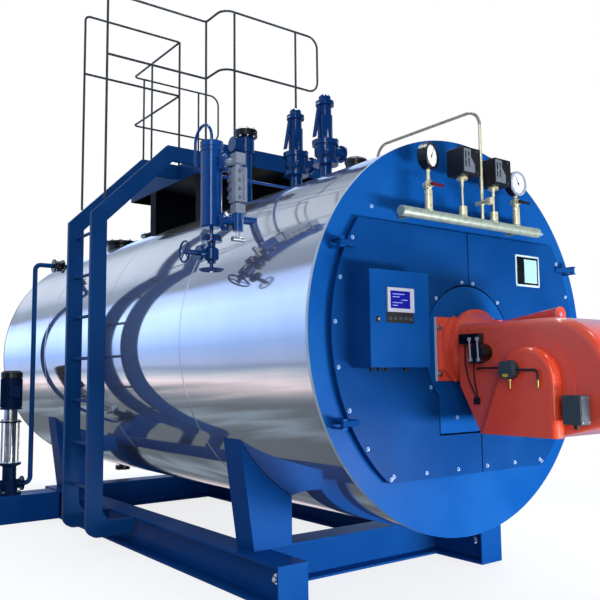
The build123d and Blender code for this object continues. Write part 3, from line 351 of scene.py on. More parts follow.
def mirror_stainless():
    """Mirror-polished stainless sheet: sharp pale reflections that a rolled sheet bends a little,
    polishing lines round the shell, and thin films of grease that dull it in patches."""
    material, tree, shader, place = surface("mirror polished stainless sheet")
    broad = add(tree, "TexNoise", {"Vector": place, "Scale": 1000 / 650, "Detail": 4})
    film = add(tree, "MapRange", (broad, 0.4, 0.75))
    around = add(tree, "Mapping", {"Vector": place, "Scale": (0.04, 1, 0.04)})
    lines = add(tree, "TexNoise", {"Vector": around, "Scale": 1000 / 5})
    dulled = add(tree, "Math", (film, lines), operation="MULTIPLY")
    waves = add(tree, "TexNoise", {"Vector": place, "Scale": 1000 / 320, "Detail": 1})
    feed(tree, shader, {
        "Metallic": 0.88,
        "Base Color": add(tree, "Mix", {"Factor": film, "A": linear("#F4F6FA"), "B": linear("#E4E8F0")},
                          data_type="RGBA"),
        "Roughness": add(tree, "MapRange", (dulled, 0.0, 0.6, 0.04, 0.12)),
        "Normal": add(tree, "Bump", {"Height": waves, "Distance": 0.5 / 1000, "Strength": 1})})
    return material


def chequer_plate():
    """Painted chequer plate: raised lozenges about 30 mm apart, their tops walked to bare steel."""
    material, tree, shader, place = surface("painted chequer plate")
    diagonal = add(tree, "Mapping", {"Vector": place, "Scale": (1, 1, 0), "Rotation": (0, 0, math.pi / 4)})
    lozenge = add(tree, "TexVoronoi", {"Vector": diagonal, "Scale": 33.0, "Randomness": 0.0}, feature="F1")
    raised = add(tree, "MapRange", (lozenge, 0.34, 0.22))
    broad = add(tree, "TexNoise", {"Vector": place, "Scale": 1000 / 500, "Detail": 3})
    worn = add(tree, "MapRange", (broad, 0.4, 0.65))
    walked = add(tree, "Math", (raised, worn), operation="MULTIPLY")
    feed(tree, shader, {
        "Specular IOR Level": 0.3,
        "Base Color": add(tree, "Mix", {"Factor": walked, "A": linear("#0C3F80"), "B": linear("#5E6E80")},
                          data_type="RGBA"),
        "Roughness": add(tree, "MapRange", (walked, 0, 1, 0.5, 0.35)),
        "Normal": add(tree, "Bump", {"Height": raised, "Distance": 1.2 / 1000, "Strength": 1})})
    return material


BRIGHT_BLUE = enamel("bright blue gloss enamel", "#0C4C98", "#1456A2", 0.34, 0.03)
# The front plate's blue made darker for the doors: painted shade
DOOR_SHADE_BLUE = enamel("front blue enamel darkened as painted shade on the doors", "#083C7C", "#104688", 0.36, 0.03)
# The front plate's blue made darker for the control cabinet: painted shade
CABINET_SHADE_BLUE = enamel("front blue enamel darkened as painted shade on the cabinet", "#0A448A", "#124E96", 0.36, 0.03)
SKID_BLUE = enamel("skid navy enamel", "#0C4A96", "#1452A0", 0.34, 0.03)
LADDER_BLUE = enamel("ladder navy enamel", "#0E4484", "#164E90", 0.36)
VALVE_BLUE = enamel("valve blue enamel on cast iron", "#083A7C", "#0C4282", 0.13, 0.45, 0.0, 0.02)
COLUMN_BLUE = enamel("column blue gloss enamel", "#0C4A98", "#1452A0", 0.13, 0.4, 0.0, 0.02)
PUMP_BLUE = enamel("pump navy enamel", "#08244E", "#102E58", 0.34)
# Black standing in for the shade under the platform deck and on its supports: painted shade
DECK_SHADE_BLACK = enamel("black paint as painted shade under the deck", "#06090F", "#0E131C", 0.55, 0.1)
RAIL_GREY = enamel("dark rail enamel", "#343E48", "#424C56", 0.35, 0.4)
BLACK_ENAMEL = enamel("black enamel on fittings", "#0B0D12", "#171A20", 0.3, 0.5)
BURNER_RED = enamel("burner red powder coat", "#E0523E", "#DC6252", 0.3, 0.3, 0.5)
HOOD_RED = enamel("air hood red powder coat", "#EA4E30", "#E25A42", 0.3, 0.3, 0.5)
SHELL_MIRROR = mirror_stainless()
CHEQUER = chequer_plate()
BOILER_STEEL = bare_metal("heat-dulled boiler plate", "#5A5B5E", "#6A6056", 0.55, patch=120)
BRASS = bare_metal("nickelled brass", "#F2EEC8", "#D2CEA6", 0.3, patch=25, metallic=0.5)
YELLOW_BRASS = bare_metal("plain brass", "#E0C070", "#B09040", 0.25, patch=20)
ZINC = bare_metal("bright zinc plate", "#DDE2E8", "#B4BCC4", 0.28, patch=18)
STAINLESS = bare_metal("brushed stainless steel", "#D4D8DC", "#B2B6BC", 0.25, (6, 6, 0.3), 90)
GALVANISED = bare_metal("galvanised pipe", "#B4C4B8", "#94A49A", 0.42, (0.3, 4, 4), 35, 0.5)
DULL_PIPE = bare_metal("dulled nickel pipe", "#A6A394", "#86837A", 0.35, patch=40, metallic=0.5)
# Pale and barely metallic, so that it is bright under any lamp: the data plate's frame, and a painted
# highlight on the edges of the front plate and the burner flange
TRIM_AND_EDGE_HIGHLIGHT = bare_metal("brushed stainless trim and painted edge highlight", "#D0E8F8", "#B0CCE0", 0.35, patch=200, metallic=0.15)
CAST_GREY = enamel("grey painted gauge steel", "#A2B0C6", "#8896AC", 0.36, 0.4, peel=0.1)
REFRACTORY = moulded("cast refractory lining", "#8B8478", 0.9, 0.6)
BLACK_PLASTIC = moulded("black moulded plastic", "#101318", 0.42)
GREY_PLASTIC = moulded("grey moulded plastic", "#33414C", 0.4)
PALE_PLASTIC = moulded("pale lavender plastic", "#A0A4CC", 0.4)
LABEL_GREY = moulded("grey label plate", "#66707E", 0.35)
# A pale cyan field for the bright reflection on the polished data plate: painted reflection
PALE_FIELD_REFLECTION = moulded("pale field as painted reflection on the data plate", "#A4D0D6", 0.3, 0.02)
BOLT_BLUE = enamel("thin blue overspray on zinc", "#86A8D6", "#A0BCE0", 0.35, 0.3)
WHITE_PLASTIC = moulded("white moulded plastic", "#A8AEC0", 0.35)
DIAL_WHITE = moulded("printed dial white", "#F2F3FA", 0.3, 0.0)
# Also used for flat black discs in openings and tube ends that stand in for the shade inside them: painted
# shade
DIAL_BLACK_AND_BORE_SHADE = moulded("dial black and painted bore shade", "#0C0C10", 0.5, 0.0)
YELLOW = moulded("yellow moulded tag", "#C8B428", 0.4)
LEVER_RED = moulded("dark red lever grip", "#5A0E1E", 0.3)
GASKET = moulded("red fibre gasket", "#5C1C22", 0.8, 0.2)
SCREEN = moulded("display glass", "#14148A", 0.12, 0.0, 0.5)
SCREEN_MARK = moulded("display marks", "#8E9CE6", 0.3, 0.0)

# Camera, floor and light

CAMERA_PLACE = (-3.2384, -3.8543, 1.2516)
CAMERA_AZIMUTH = math.radians(-36.61)
CAMERA_ELEVATION = math.radians(-5.69)
CAMERA_ROLL = math.radians(-0.56)
CAMERA_LENS = 44.90


def camera():
    """The photograph's camera: where it stands, how it is turned and its lens on a 36 mm frame."""
    a, e, r = CAMERA_AZIMUTH, CAMERA_ELEVATION, CAMERA_ROLL
    back = np.array((math.sin(a) * math.cos(e), -math.cos(a) * math.cos(e), math.sin(e)))
    right = np.array((math.cos(a), math.sin(a), 0.0))
    up = np.cross(back, right)
    right, up = (right * math.cos(r) + up * math.sin(r), up * math.cos(r) - right * math.sin(r))
    lens = bpy.data.cameras.new("camera")
    lens.lens = CAMERA_LENS
    lens.sensor_width = 36.0
    seen_from = placed("camera", lens)
    turn = Matrix((right, up, back)).transposed().to_4x4()
    seen_from.matrix_world = Matrix.Translation(CAMERA_PLACE) @ turn
    bpy.context.scene.camera = seen_from


FLOOR_RADIUS = 4400.0
FLOOR_MIDDLE = (0.0, 2200.0, -AXIS_HEIGHT - 1.0)
FLOOR_SIDES = 96


def floor():
    """A pale round floor just under the skid; polished metal sees the surround through it."""
    t = np.linspace(0, 2 * np.pi, FLOOR_SIDES, endpoint=False)[:, None]
    rim = FLOOR_MIDDLE + FLOOR_RADIUS * (np.cos(t) * X + np.sin(t) * Y)
    mesh = bpy.data.meshes.new("floor")
    mesh.from_pydata(metres(rim).tolist(), [], [list(range(FLOOR_SIDES))])
    material, tree, shader, _ = surface("pale studio floor")
    feed(tree, shader, {"Roughness": 0.7, "Base Color": linear("#8C9198")})
    path = add(tree, "LightPath").node.outputs
    glow = add(tree, "Emission", ((1, 1, 1, 1), 0.8))
    both = add(tree, "AddShader", (shader.outputs[0], glow))
    lit = add(tree, "MixShader", (path["Is Camera Ray"], shader.outputs[0], both))
    clear = add(tree, "BsdfTransparent")
    open_to_mirrors = add(tree, "MixShader", (path["Is Glossy Ray"], lit, clear))
    tree.links.new(open_to_mirrors, tree.nodes["Material Output"].inputs["Surface"])
    mesh.materials.append(material)
    placed("floor", mesh)


BAND_HEIGHT = 0.62


def surround():
    """White to the camera; to polished metal a pale blue wall under a grey ceiling, dark in front
    and brightest straight behind. Its bands run along the shell: a direction's height on the wall
    is BAND_HEIGHT * z / length of (x, z), and the lower bands sway a little."""
    world = bpy.data.worlds.new("studio")
    world.use_nodes = True
    bpy.context.scene.world = world
    tree = world.node_tree
    path = add(tree, "LightPath").node.outputs
    way = add(tree, "TexCoord").node.outputs["Generated"]
    split = add(tree, "SeparateXYZ", (way,)).node.outputs
    across = add(tree, "VectorMath", (way, (1, 0, 1)), operation="MULTIPLY")
    width = add(tree, "VectorMath", (across,), operation="LENGTH")
    slope = add(tree, "Math", (split["Z"], width), operation="DIVIDE")
    height = add(tree, "Math", (slope, BAND_HEIGHT), operation="MULTIPLY")
    streaky = add(tree, "Mapping", {"Vector": way, "Scale": (1.2, 1.2, 9.0)})
    streaks = add(tree, "TexNoise", {"Vector": streaky, "Scale": 1 / 0.7, "Detail": 4, "Roughness": 0.6})
    sway = add(tree, "MapRange", (streaks, 0.3, 0.7, -0.07, 0.07))
    below = add(tree, "MapRange", (height, -0.15, -0.3))
    low_sway = add(tree, "Math", (sway, below), operation="MULTIPLY")
    level = add(tree, "Math", (height, low_sway), operation="ADD")
    wall = add(tree, "ValToRGB", (add(tree, "MapRange", (level, -0.6, 1.0)),))
    stops = ((0.0, "#50565C"), (0.035, "#74808A"), (0.065, "#50565C"), (0.12, "#6A7078"),
             (0.165, "#B4A8AA"), (0.185, "#D6C6CA"), (0.225, "#A2AAB4"), (0.265, "#76849E"),
             (0.29, "#8E9CBE"), (0.375, "#86A2D4"), (0.43, "#9CBAF0"), (0.5, "#B4D2FA"),
             (0.57, "#BEDCFC"), (0.645, "#A4BAEC"), (0.67, "#727C90"), (0.715, "#7C8898"),
             (0.745, "#A0AABA"), (0.82, "#C8CCD2"), (1.0, "#F4F4F4"))
    ramp = wall.node.color_ramp.elements
    while len(ramp) < len(stops):
        ramp.new(0.5)
    for stop, (position, tint) in zip(ramp, stops):
        stop.position = position
        stop.color = linear(tint)
    soft = add(tree, "Background", (linear("#EEF2FA"), 0.23))
    dark_front = add(tree, "MapRange", (split["Y"], -0.35, 0.15, 0.10, 1.12))
    bright_rear = add(tree, "MapRange", (split["Y"], 0.72, 0.97, 1.0, 1.6))
    bright = add(tree, "Math", (dark_front, bright_rear), operation="MULTIPLY")
    mirrored = add(tree, "Background", (wall, bright))
    white = add(tree, "Background", ((1, 1, 1, 1), 1.0))
    polished = add(tree, "Math", (path["Is Glossy Ray"], path["Is Transmission Ray"]), operation="MAXIMUM")
    inner = add(tree, "MixShader", (polished, soft, mirrored))
    outer = add(tree, "MixShader", (path["Is Camera Ray"], inner, white))
    output = next(n for n in tree.nodes if n.type == "OUTPUT_WORLD")
    tree.links.new(outer, output.inputs["Surface"])


def softbox(name, at, towards, size, watts, tint="#FFFFFF"):
    """A rectangular soft light that faces a point; its second size is the upright one."""
    lamp = bpy.data.lights.new(name, "AREA")
    lamp.shape = "RECTANGLE"
    lamp.size, lamp.size_y = size
    lamp.energy = watts
    lamp.color = linear(tint)[:3]
    turn = Matrix(frame_of(np.subtract(at, towards))).transposed().to_4x4()
    placed(name, lamp).matrix_world = Matrix.Translation(at) @ turn


camera()
floor()
surround()
softbox("low front light", (1.0, -4.6, 0.2), (0.1, -0.9, 0.3), (2.6, 0.6), 230)
softbox("tall box behind the camera", (-6.3, -7.6, 3.6), (-0.6, 0.6, 1.8), (2.8, 6.0), 280, "#F4F8FF")
softbox("overhead strip", (0.6, 1.6, 8.5), (0.0, 1.6, 2.0), (0.5, 9.0), 300)
softbox("high front light", (0.6, -3.6, 6.2), (0.0, -1.0, 1.6), (1.6, 0.8), 40)
softbox("flare on the burner", (-1.4, -5.5, 1.6), (0.4, -2.0, 1.3), (0.3, 1.2), 22, "#FFF2DC")

# Where things are, taken from the CAD nodes

def extent(node):
    """A CAD node's low and high corner in shell-frame millimetres."""
    points = shell_points(frame["nodes"][node].data.vertices, "co")
    return points.min(0), points.max(0)


def spans(node):
    """A CAD node's low and high value on each axis."""
    return np.transpose(extent(node))


def middle(node):
    """The middle of a CAD node's box."""
    return spans(node).mean(1)


def inset(span, by):
    """A span drawn in at both ends."""
    return span[0] + by, span[1] - by


def within(value, low, high):
    """Whether each value lies between two bounds."""
    return (value > low) & (value < high)


def painted(node, material, where):
    """Another material for those faces of a dressed node whose middles (x, y, z) fulfil a condition."""
    mesh = bpy.data.objects[node + "_finished"].data
    index = np.zeros(len(mesh.polygons), np.int32)
    mesh.polygons.foreach_get("material_index", index)
    mesh.materials.append(material)
    index[where(*shell_points(mesh.polygons, "center").T)] = len(mesh.materials) - 1
    mesh.polygons.foreach_set("material_index", index)


def circle(centre, axis, radius, count, phase=0.0):
    """Evenly spaced points on a circle about an axis; the phase is a share of their spacing."""
    side, other, axis = frame_of(axis)
    t = 2 * np.pi * (np.arange(count)[:, None] + phase) / count
    return centre + radius * (np.cos(t) * side + np.sin(t) * other)


def bolts(name, places, axis, flats, height, material=ZINC, body="root"):
    """Hexagon heads on washers that stand on one face."""
    washer = 0.14 * flats
    shapes = []
    for at in np.array(places, float):
        shapes.append(turned([(0, flats), (washer, flats)], at, axis, 18))
        shapes.append(nut(at + washer * axis, axis, flats, height))
    piece(name, joined(*shapes), material, body, flat=25)


def studs(name, places, axis, length, flats):
    """Studs through a pair of flanges, with a nut near each end."""
    shapes = []
    for at in places:
        shapes.append(bar(at, at + axis * length, flats * 0.3, 10))
        for along in (flats * 0.35, length - flats * 0.85):
            shapes.append(nut(at + axis * along, axis, flats, flats * 0.5))
    piece(name, joined(*shapes), ZINC, flat=25)


def screws(name, places, head, body="root", steps=12):
    """Screw heads on a face that looks to the front."""
    piece(name, joined(*[turned(head, at, -Y, steps) for at in places]), ZINC, body)


def bead(centre, axis, inner, size):
    """A fillet weld round a bar: its leg along the face fades up along the bar."""
    return turned([(0, inner), (0, inner + size), (size * 0.35, inner + size * 0.75),
                   (size, inner + 0.4), (size, inner)], centre, axis, 28)


SIDES = (("left", -1), ("right", 1))

# Cladding

CLADDING = (20.3, 5169.7)
CLADDING_WALL = 30.0
SHEET_JOINTS = (1315.0, 2600.0, 3880.0)
JOINT_WIDTH = 14.0
JOINT_RISE = 0.8
CALM_ENDS = 60.0


def cladding():
    """The shell's polished sheets: radius = shell + slow waves of a rolled sheet, which fade out
    toward both ends, + a lap rise just behind each joint. Inside is the smokebox's plain wall."""
    lines = [np.linspace(*CLADDING, 60)]
    for joint in SHEET_JOINTS:
        lines.append(joint + np.array([-2, 0, 2, JOINT_WIDTH - 2, JOINT_WIDTH, JOINT_WIDTH + 2]))
    y = np.unique(np.concatenate(lines))
    rise = np.zeros_like(y)
    for joint in SHEET_JOINTS:
        rise += JOINT_RISE * np.clip((y - joint) / 2, 0, 1) * np.clip((joint + JOINT_WIDTH - y) / 2, 0, 1)
    t = np.linspace(0, 2 * np.pi, 240, endpoint=False)
    yy, tt = np.meshgrid(y, t, indexing="ij")
    wave = (0.5 * np.sin(5 * tt + yy / 310) + 0.35 * np.sin(9 * tt - yy / 190 + 1.0)
            + 0.3 * np.sin(yy / 120 + 2 * tt))
    calm = np.minimum(1, np.minimum(yy - CLADDING[0], CLADDING[1] - yy) / CALM_ENDS)
    radius = SHELL_RADIUS - 1.2 + wave * calm * 0.8 + rise[:, None]
    outer = np.stack([radius * np.cos(tt), yy, radius * np.sin(tt)], -1)
    inner = outer[[-1, 0]] * ((SHELL_RADIUS - CLADDING_WALL) / radius[[-1, 0]])[..., None] * (1, 0, 1)
    inner[..., 1] = yy[[-1, 0]]
    return grid(np.concatenate([outer, inner]), wrap_u=True, wrap_v=True)


piece("shell_sheets", cladding(), SHELL_MIRROR, flat=40, replaces=["shell_cladding"])

# Forms that stay as the CAD has them: nodes, material, bevel (mm), smoothing angle (degrees), slot

FORMS = (
    ("skid_beam_left skid_beam_right skid_cross_front skid_cross_rear saddle_front_left "
     "saddle_front_right saddle_rear_left saddle_rear_right pump_base", SKID_BLUE, 3, 32, "skid_paint"),
    ("ladder_stile_near ladder_stile_far ladder_rungs", LADDER_BLUE, 2.5, 32, "skid_paint"),
    ("platform_deck", LADDER_BLUE, 2, 32, "skid_paint"),
    # The platform supports are black as painted shade under the deck
    ("platform_support_front platform_support_rear", DECK_SHADE_BLACK, 2, 32, "skid_paint"),
    ("front_plate", BRIGHT_BLUE, 0, 32, "front_paint"),
    ("rear_plate", LADDER_BLUE, 3, 32, "boiler_steel"),
    # The doors take the darker blue of painted shade
    ("front_door_left front_door_right", DOOR_SHADE_BLUE, 1.5, 32, "front_paint"),
    ("door_hinges burner_plate", BRIGHT_BLUE, 2, 32, "front_paint"),
    # The cabinet takes the darker blue of painted shade
    ("control_cabinet cabinet_door", CABINET_SHADE_BLUE, 2, 32, "front_paint"),
    ("tube_sheet furnace_throat", BOILER_STEEL, 1, 32, "boiler_steel"),
    ("handrail_near handrail_far", RAIL_GREY, 0, 50, "rail_steel"),
    ("feed_pipe", LADDER_BLUE, 0, 50, "rail_steel"),
    ("blowdown_valve side_handwheel bottom_handwheel safety_valve_front safety_valve_rear",
     VALVE_BLUE, 1.5, 40, "valve_paint"),
    ("water_column", COLUMN_BLUE, 1.5, 40, "valve_paint"),
    ("steam_outlet", VALVE_BLUE, 1.5, 40, "valve_paint"),
    ("level_gauge", CAST_GREY, 1.5, 40, "cast_gauge_steel"),
    ("inspection_cap manhole_cover flue_nozzle drain_nozzle check_valve burner_actuator",
     BLACK_ENAMEL, 1.5, 40, "black_fittings"),
    ("pressure_controller_left pressure_controller_right", BLACK_PLASTIC, 2.5, 40, "black_fittings"),
    ("burner_leads", BLACK_PLASTIC, 0, 50, "black_fittings"),
    ("gauge_lever_left", LEVER_RED, 1, 40, "black_fittings"),
    ("gauge_lever_right", BLACK_PLASTIC, 1, 40, "black_fittings"),
    ("gauge_manifold", GALVANISED, 1, 40, "pipe_metal"),
    ("sensing_pipe", DULL_PIPE, 0, 50, "pipe_metal"),
    ("burner_housing", BURNER_RED, 4, 40, "burner_red"),
    ("burner_air_hood", HOOD_RED, 4, 40, "burner_red"),
    ("burner_flange", BURNER_RED, 0, 40, "burner_red"),
    ("burner_motor", BURNER_RED, 3, 40, "burner_red"),
    ("burner_junction_box pressure_switch", GREY_PLASTIC, 2, 32, "grey_plastic"),
    ("cabinet_display", WHITE_PLASTIC, 1.5, 32, "grey_plastic"),
    ("feed_pump", PUMP_BLUE, 1.5, 40, "pump_steel"),
)

for nodes, material, edge, flat, slot in FORMS:
    for node in nodes.split():
        dressed(node, material, edge, flat)

# Parts of those forms in another finish, in painted shade or in a painted highlight; heights on the pump
# are measured from its foot

LINING_START = DOOR_FACE + 42
MANIFOLD_Y, MANIFOLD_HEIGHT, MANIFOLD_RADIUS = -132.0, 611.0, 28.0
GAUGE_COCK = (598.0, 640.0)
GAUGE_DRAIN_TOP = 597.0
COLUMN_FOOT_FLANGE = (536.0, 568.0)
PUMP_SLEEVE = (276.5, 735.0)
PUMP_HEAD_RING = (619.0, 635.0)
PUMP_FAN_COVER = 1011.0
deck_x, deck_y, deck_z = spans("platform_deck")
gauge_x, gauge_y = middle("level_gauge")[:2]
pump_foot = extent("feed_pump")[0][2]


def by_gauge(x, y):
    """Whether a place is close to the level gauge's axis, where its cock and drain are."""
    return np.hypot(x - gauge_x, y - gauge_y) < 36


# The deck's underside is black as painted shade
painted("platform_deck", DECK_SHADE_BLACK, lambda x, y, z: (z < deck_z[1] - 7)
        & within(x, *inset(deck_x, 2)) & within(y, *inset(deck_y, 2)))
painted("platform_deck", CHEQUER, lambda x, y, z: z > deck_z[1] - 0.5)
# The front plate's rim is pale as a painted highlight along its edge
painted("front_plate", TRIM_AND_EDGE_HIGHLIGHT, lambda x, y, z: np.hypot(x, z) > PLATE_RADIUS - 4)
for name, side in SIDES:
    painted("front_door_" + name, REFRACTORY, lambda x, y, z: y > LINING_START)
painted("water_column", BLACK_ENAMEL, lambda x, y, z: by_gauge(x, y) & within(z, *GAUGE_COCK))
painted("water_column", ZINC, lambda x, y, z: by_gauge(x, y) & (z < GAUGE_DRAIN_TOP)
        | within(z, *COLUMN_FOOT_FLANGE))
painted("gauge_manifold", BRASS, lambda x, y, z: (z > MANIFOLD_HEIGHT + MANIFOLD_RADIUS - 8)
        & (np.hypot(y - MANIFOLD_Y, z - MANIFOLD_HEIGHT) > MANIFOLD_RADIUS + 1))
painted("sensing_pipe", BRASS, lambda x, y, z: (y < -85) & (z < 1100))
# The burner flange's side faces are pale as a painted highlight on its edge
painted("burner_flange", TRIM_AND_EDGE_HIGHLIGHT, lambda x, y, z: np.abs(x) > 276)
painted("feed_pump", STAINLESS, lambda x, y, z: within(z - pump_foot, *PUMP_SLEEVE))
painted("feed_pump", BLACK_ENAMEL, lambda x, y, z: within(z - pump_foot, *PUMP_HEAD_RING)
        | (z - pump_foot > PUMP_FAN_COVER))

# Smokebox doors

BURNER_AXIS = -84.0
SILL_BOLTS = ((119, -728), (360, -728), (595, -728))
EDGE_BOLTS = (960.0, 0.0, 151.2 + 13.2 * np.arange(7))  # radius, height of the middle, angles
COLLAR_BOLTS = (374.0, BURNER_AXIS, (97, 133, 213))

for name, side in SIDES:
    places = [(side * x, DOOR_FACE, z) for x, z in SILL_BOLTS]
    places += [(-side * radius * math.cos(a), DOOR_FACE, height + radius * math.sin(a))
               for radius, height, angles in (EDGE_BOLTS, COLLAR_BOLTS) for a in np.radians(angles)]
    bolts("door_bolts_" + name, places, -Y, 11, 7, BOLT_BLUE, "front_door_" + name)
for name, side in SIDES:
    bolts("web_bolt_" + name, [(side * 819, 674, -1331)], side * X, 30, 20)
bolts("upper_plate_bolts", [(-679, 0, 647), (752, 0, 650)], -Y, 11, 7, BOLT_BLUE)
bolts("apron_bolts", [(-115, DOOR_FACE, -452), (115, DOOR_FACE, -452)], -Y, 11, 7, BOLT_BLUE)

RIM_RADII = (979.0, 982.6)
RIM_ENDS = np.radians((144.6, 230.2))
RIM_START = DOOR_FACE + 12.2
RIM_REACH, RIM_REACH_AT_PIN = 20.0, 9.0
PIN_X = 951.0


def door_rim():
    """The left door's folded edge: a thin wall round the arc, from the door's back toward the
    front plate; it is shorter beyond the hinge pin, where the opening door swings it backward."""
    inner, outer = RIM_RADII
    t = np.linspace(*RIM_ENDS, 90)
    reach = np.where(-np.cos(t) * outer > PIN_X - 12, RIM_REACH_AT_PIN, RIM_REACH)
    rows = np.stack([np.stack([r * np.cos(t), RIM_START + back * reach, r * np.sin(t)], -1)
                     for r, back in ((inner, 0), (outer, 0), (outer, 1), (inner, 1))], 1)
    shape, faces = grid(rows, wrap_v=True)
    last = len(shape) - 4
    return shape, faces + [[3, 2, 1, 0], [last, last + 1, last + 2, last + 3]]


rim_points, rim_faces = door_rim()
# The door rims take the doors' darker blue of painted shade
piece("door_rim_left", (rim_points, rim_faces), DOOR_SHADE_BLUE, "front_door_left")
piece("door_rim_right", (rim_points * (-1, 1, 1), [face[::-1] for face in rim_faces]), DOOR_SHADE_BLUE,
      "front_door_right")

# Data plate on the right door, bare

PLATE_X, PLATE_Z = (433.0, 660.0), (300.0, 490.0)
FRAME_WIDTH = 11
FRAME_Y = (DOOR_FACE - 4, DOOR_FACE)
piece("data_plate", box(inset(PLATE_X, 9), (DOOR_FACE - 1.6, DOOR_FACE - 0.2), inset(PLATE_Z, 9)),
      BLACK_ENAMEL, "front_door_right")
# The pale field on the black plate stands in for its bright reflection: painted reflection
piece("data_plate_field", box((PLATE_X[0] + 84, PLATE_X[1] - 22), (DOOR_FACE - 2.2, DOOR_FACE - 1.4),
                              inset(PLATE_Z, 24)), PALE_FIELD_REFLECTION, "front_door_right")
inner_x, inner_z = inset(PLATE_X, FRAME_WIDTH), inset(PLATE_Z, FRAME_WIDTH)
frame_bars = [box(PLATE_X, FRAME_Y, z) for z in ((PLATE_Z[0], inner_z[0]), (inner_z[1], PLATE_Z[1]))]
frame_bars += [box(x, FRAME_Y, inner_z) for x in ((PLATE_X[0], inner_x[0]), (inner_x[1], PLATE_X[1]))]
piece("data_plate_frame", joined(*frame_bars), TRIM_AND_EDGE_HIGHLIGHT, "front_door_right", edge=0.8)
screws("data_plate_screws", [(x, FRAME_Y[0], z) for x in inset(PLATE_X, 6) for z in inset(PLATE_Z, 6)],
       [(0, 4), (1.4, 3), (1.8, 0)], "front_door_right")

# Control cabinet

display_x, display_y, display_z = spans("cabinet_display")
BEZEL_FRONT = display_y[0]
SCREEN_X = (display_x[0] + 18, display_x[1] - 30)
SCREEN_Z = (display_z[0] + 18, display_z[1] - 16)
SCREEN_WIDTH = SCREEN_X[1] - SCREEN_X[0]
LINE_PITCH = 14
piece("display_glass", box(SCREEN_X, (BEZEL_FRONT - 1, BEZEL_FRONT + 2), SCREEN_Z), SCREEN,
      "cabinet_door", edge=0.5)
marks = []
for row, (start, width) in enumerate(((0.1, 0.62), (0.1, 0.35), (0.55, 0.3), (0.1, 0.5), (0.1, 0.25))):
    z = SCREEN_Z[1] - (row + 1) * LINE_PITCH
    x = SCREEN_X[0] + start * SCREEN_WIDTH
    marks.append(box((x, x + width * SCREEN_WIDTH), (BEZEL_FRONT - 1.3, BEZEL_FRONT - 0.9), (z - 4, z)))
piece("display_bars", joined(*marks), SCREEN_MARK, "cabinet_door")
DOOR_SKIN = extent("cabinet_door")[0][1]
PANEL_X, PANEL_Z = (-757.0, -575.0), (33.0, 84.0)
piece("key_panel", box(PANEL_X, (DOOR_SKIN - 3, DOOR_SKIN + 1), PANEL_Z), BLACK_PLASTIC,
      "cabinet_door", edge=1.5)
keys = [box((x, x + 20), (DOOR_SKIN - 5, DOOR_SKIN - 2), (PANEL_Z[0] + 14, PANEL_Z[0] + 28))
        for x in np.linspace(PANEL_X[0] + 12, PANEL_X[1] - 32, 5)]
piece("panel_keys", joined(*keys), GREY_PLASTIC, "cabinet_door", edge=1.0)
LOCK = (-812.0, DOOR_SKIN, 47.0)
piece("lock_plate", turned([(0, 15), (3, 15), (5, 12)], LOCK, -Y, 28), BLACK_PLASTIC, "cabinet_door")
piece("lock_barrel", joined(turned([(0, 7), (9, 7), (10, 6)], LOCK, -Y, 20),
                            box((LOCK[0] - 1, LOCK[0] + 1), (DOOR_SKIN - 10.6, DOOR_SKIN - 9),
                                (LOCK[2] - 4, LOCK[2] + 4))), ZINC, "cabinet_door")
cabinet_floor = extent("control_cabinet")[0][2]
piece("cable_glands", joined(*[turned([(0, 13), (5, 13), (6, 11), (16, 11), (18, 8)],
                                      (x, -100, cabinet_floor), -Z, 6)
                               for x in (-790, -740, -690, -560)]), BLACK_PLASTIC,
      "front_door_left", flat=25)

# Dial gauges

GAUGE_RADIUS = 72.0
GAUGE_BACK = 29.5
DIAL_FROM_BACK = 52
DIAL_STEPS = 40


def numeral(text, height, at, right, up):
    """A plain numeral as a flat mesh: its font outline on two directions, about a middle point."""
    curve = bpy.data.curves.new("numeral", "FONT")
    curve.body = text
    curve.size = height
    curve.align_x = curve.align_y = "CENTER"
    holder = bpy.data.objects.new("numeral", curve)
    flat = bpy.data.meshes.new_from_object(holder)
    points = np.empty(len(flat.vertices) * 3)
    flat.vertices.foreach_get("co", points)
    points = points.reshape(-1, 3)
    faces = [list(p.vertices) for p in flat.polygons]
    bpy.data.objects.remove(holder)
    bpy.data.curves.remove(curve)
    bpy.data.meshes.remove(flat)
    return at + points[:, :1] * right + points[:, 1:2] * up, faces


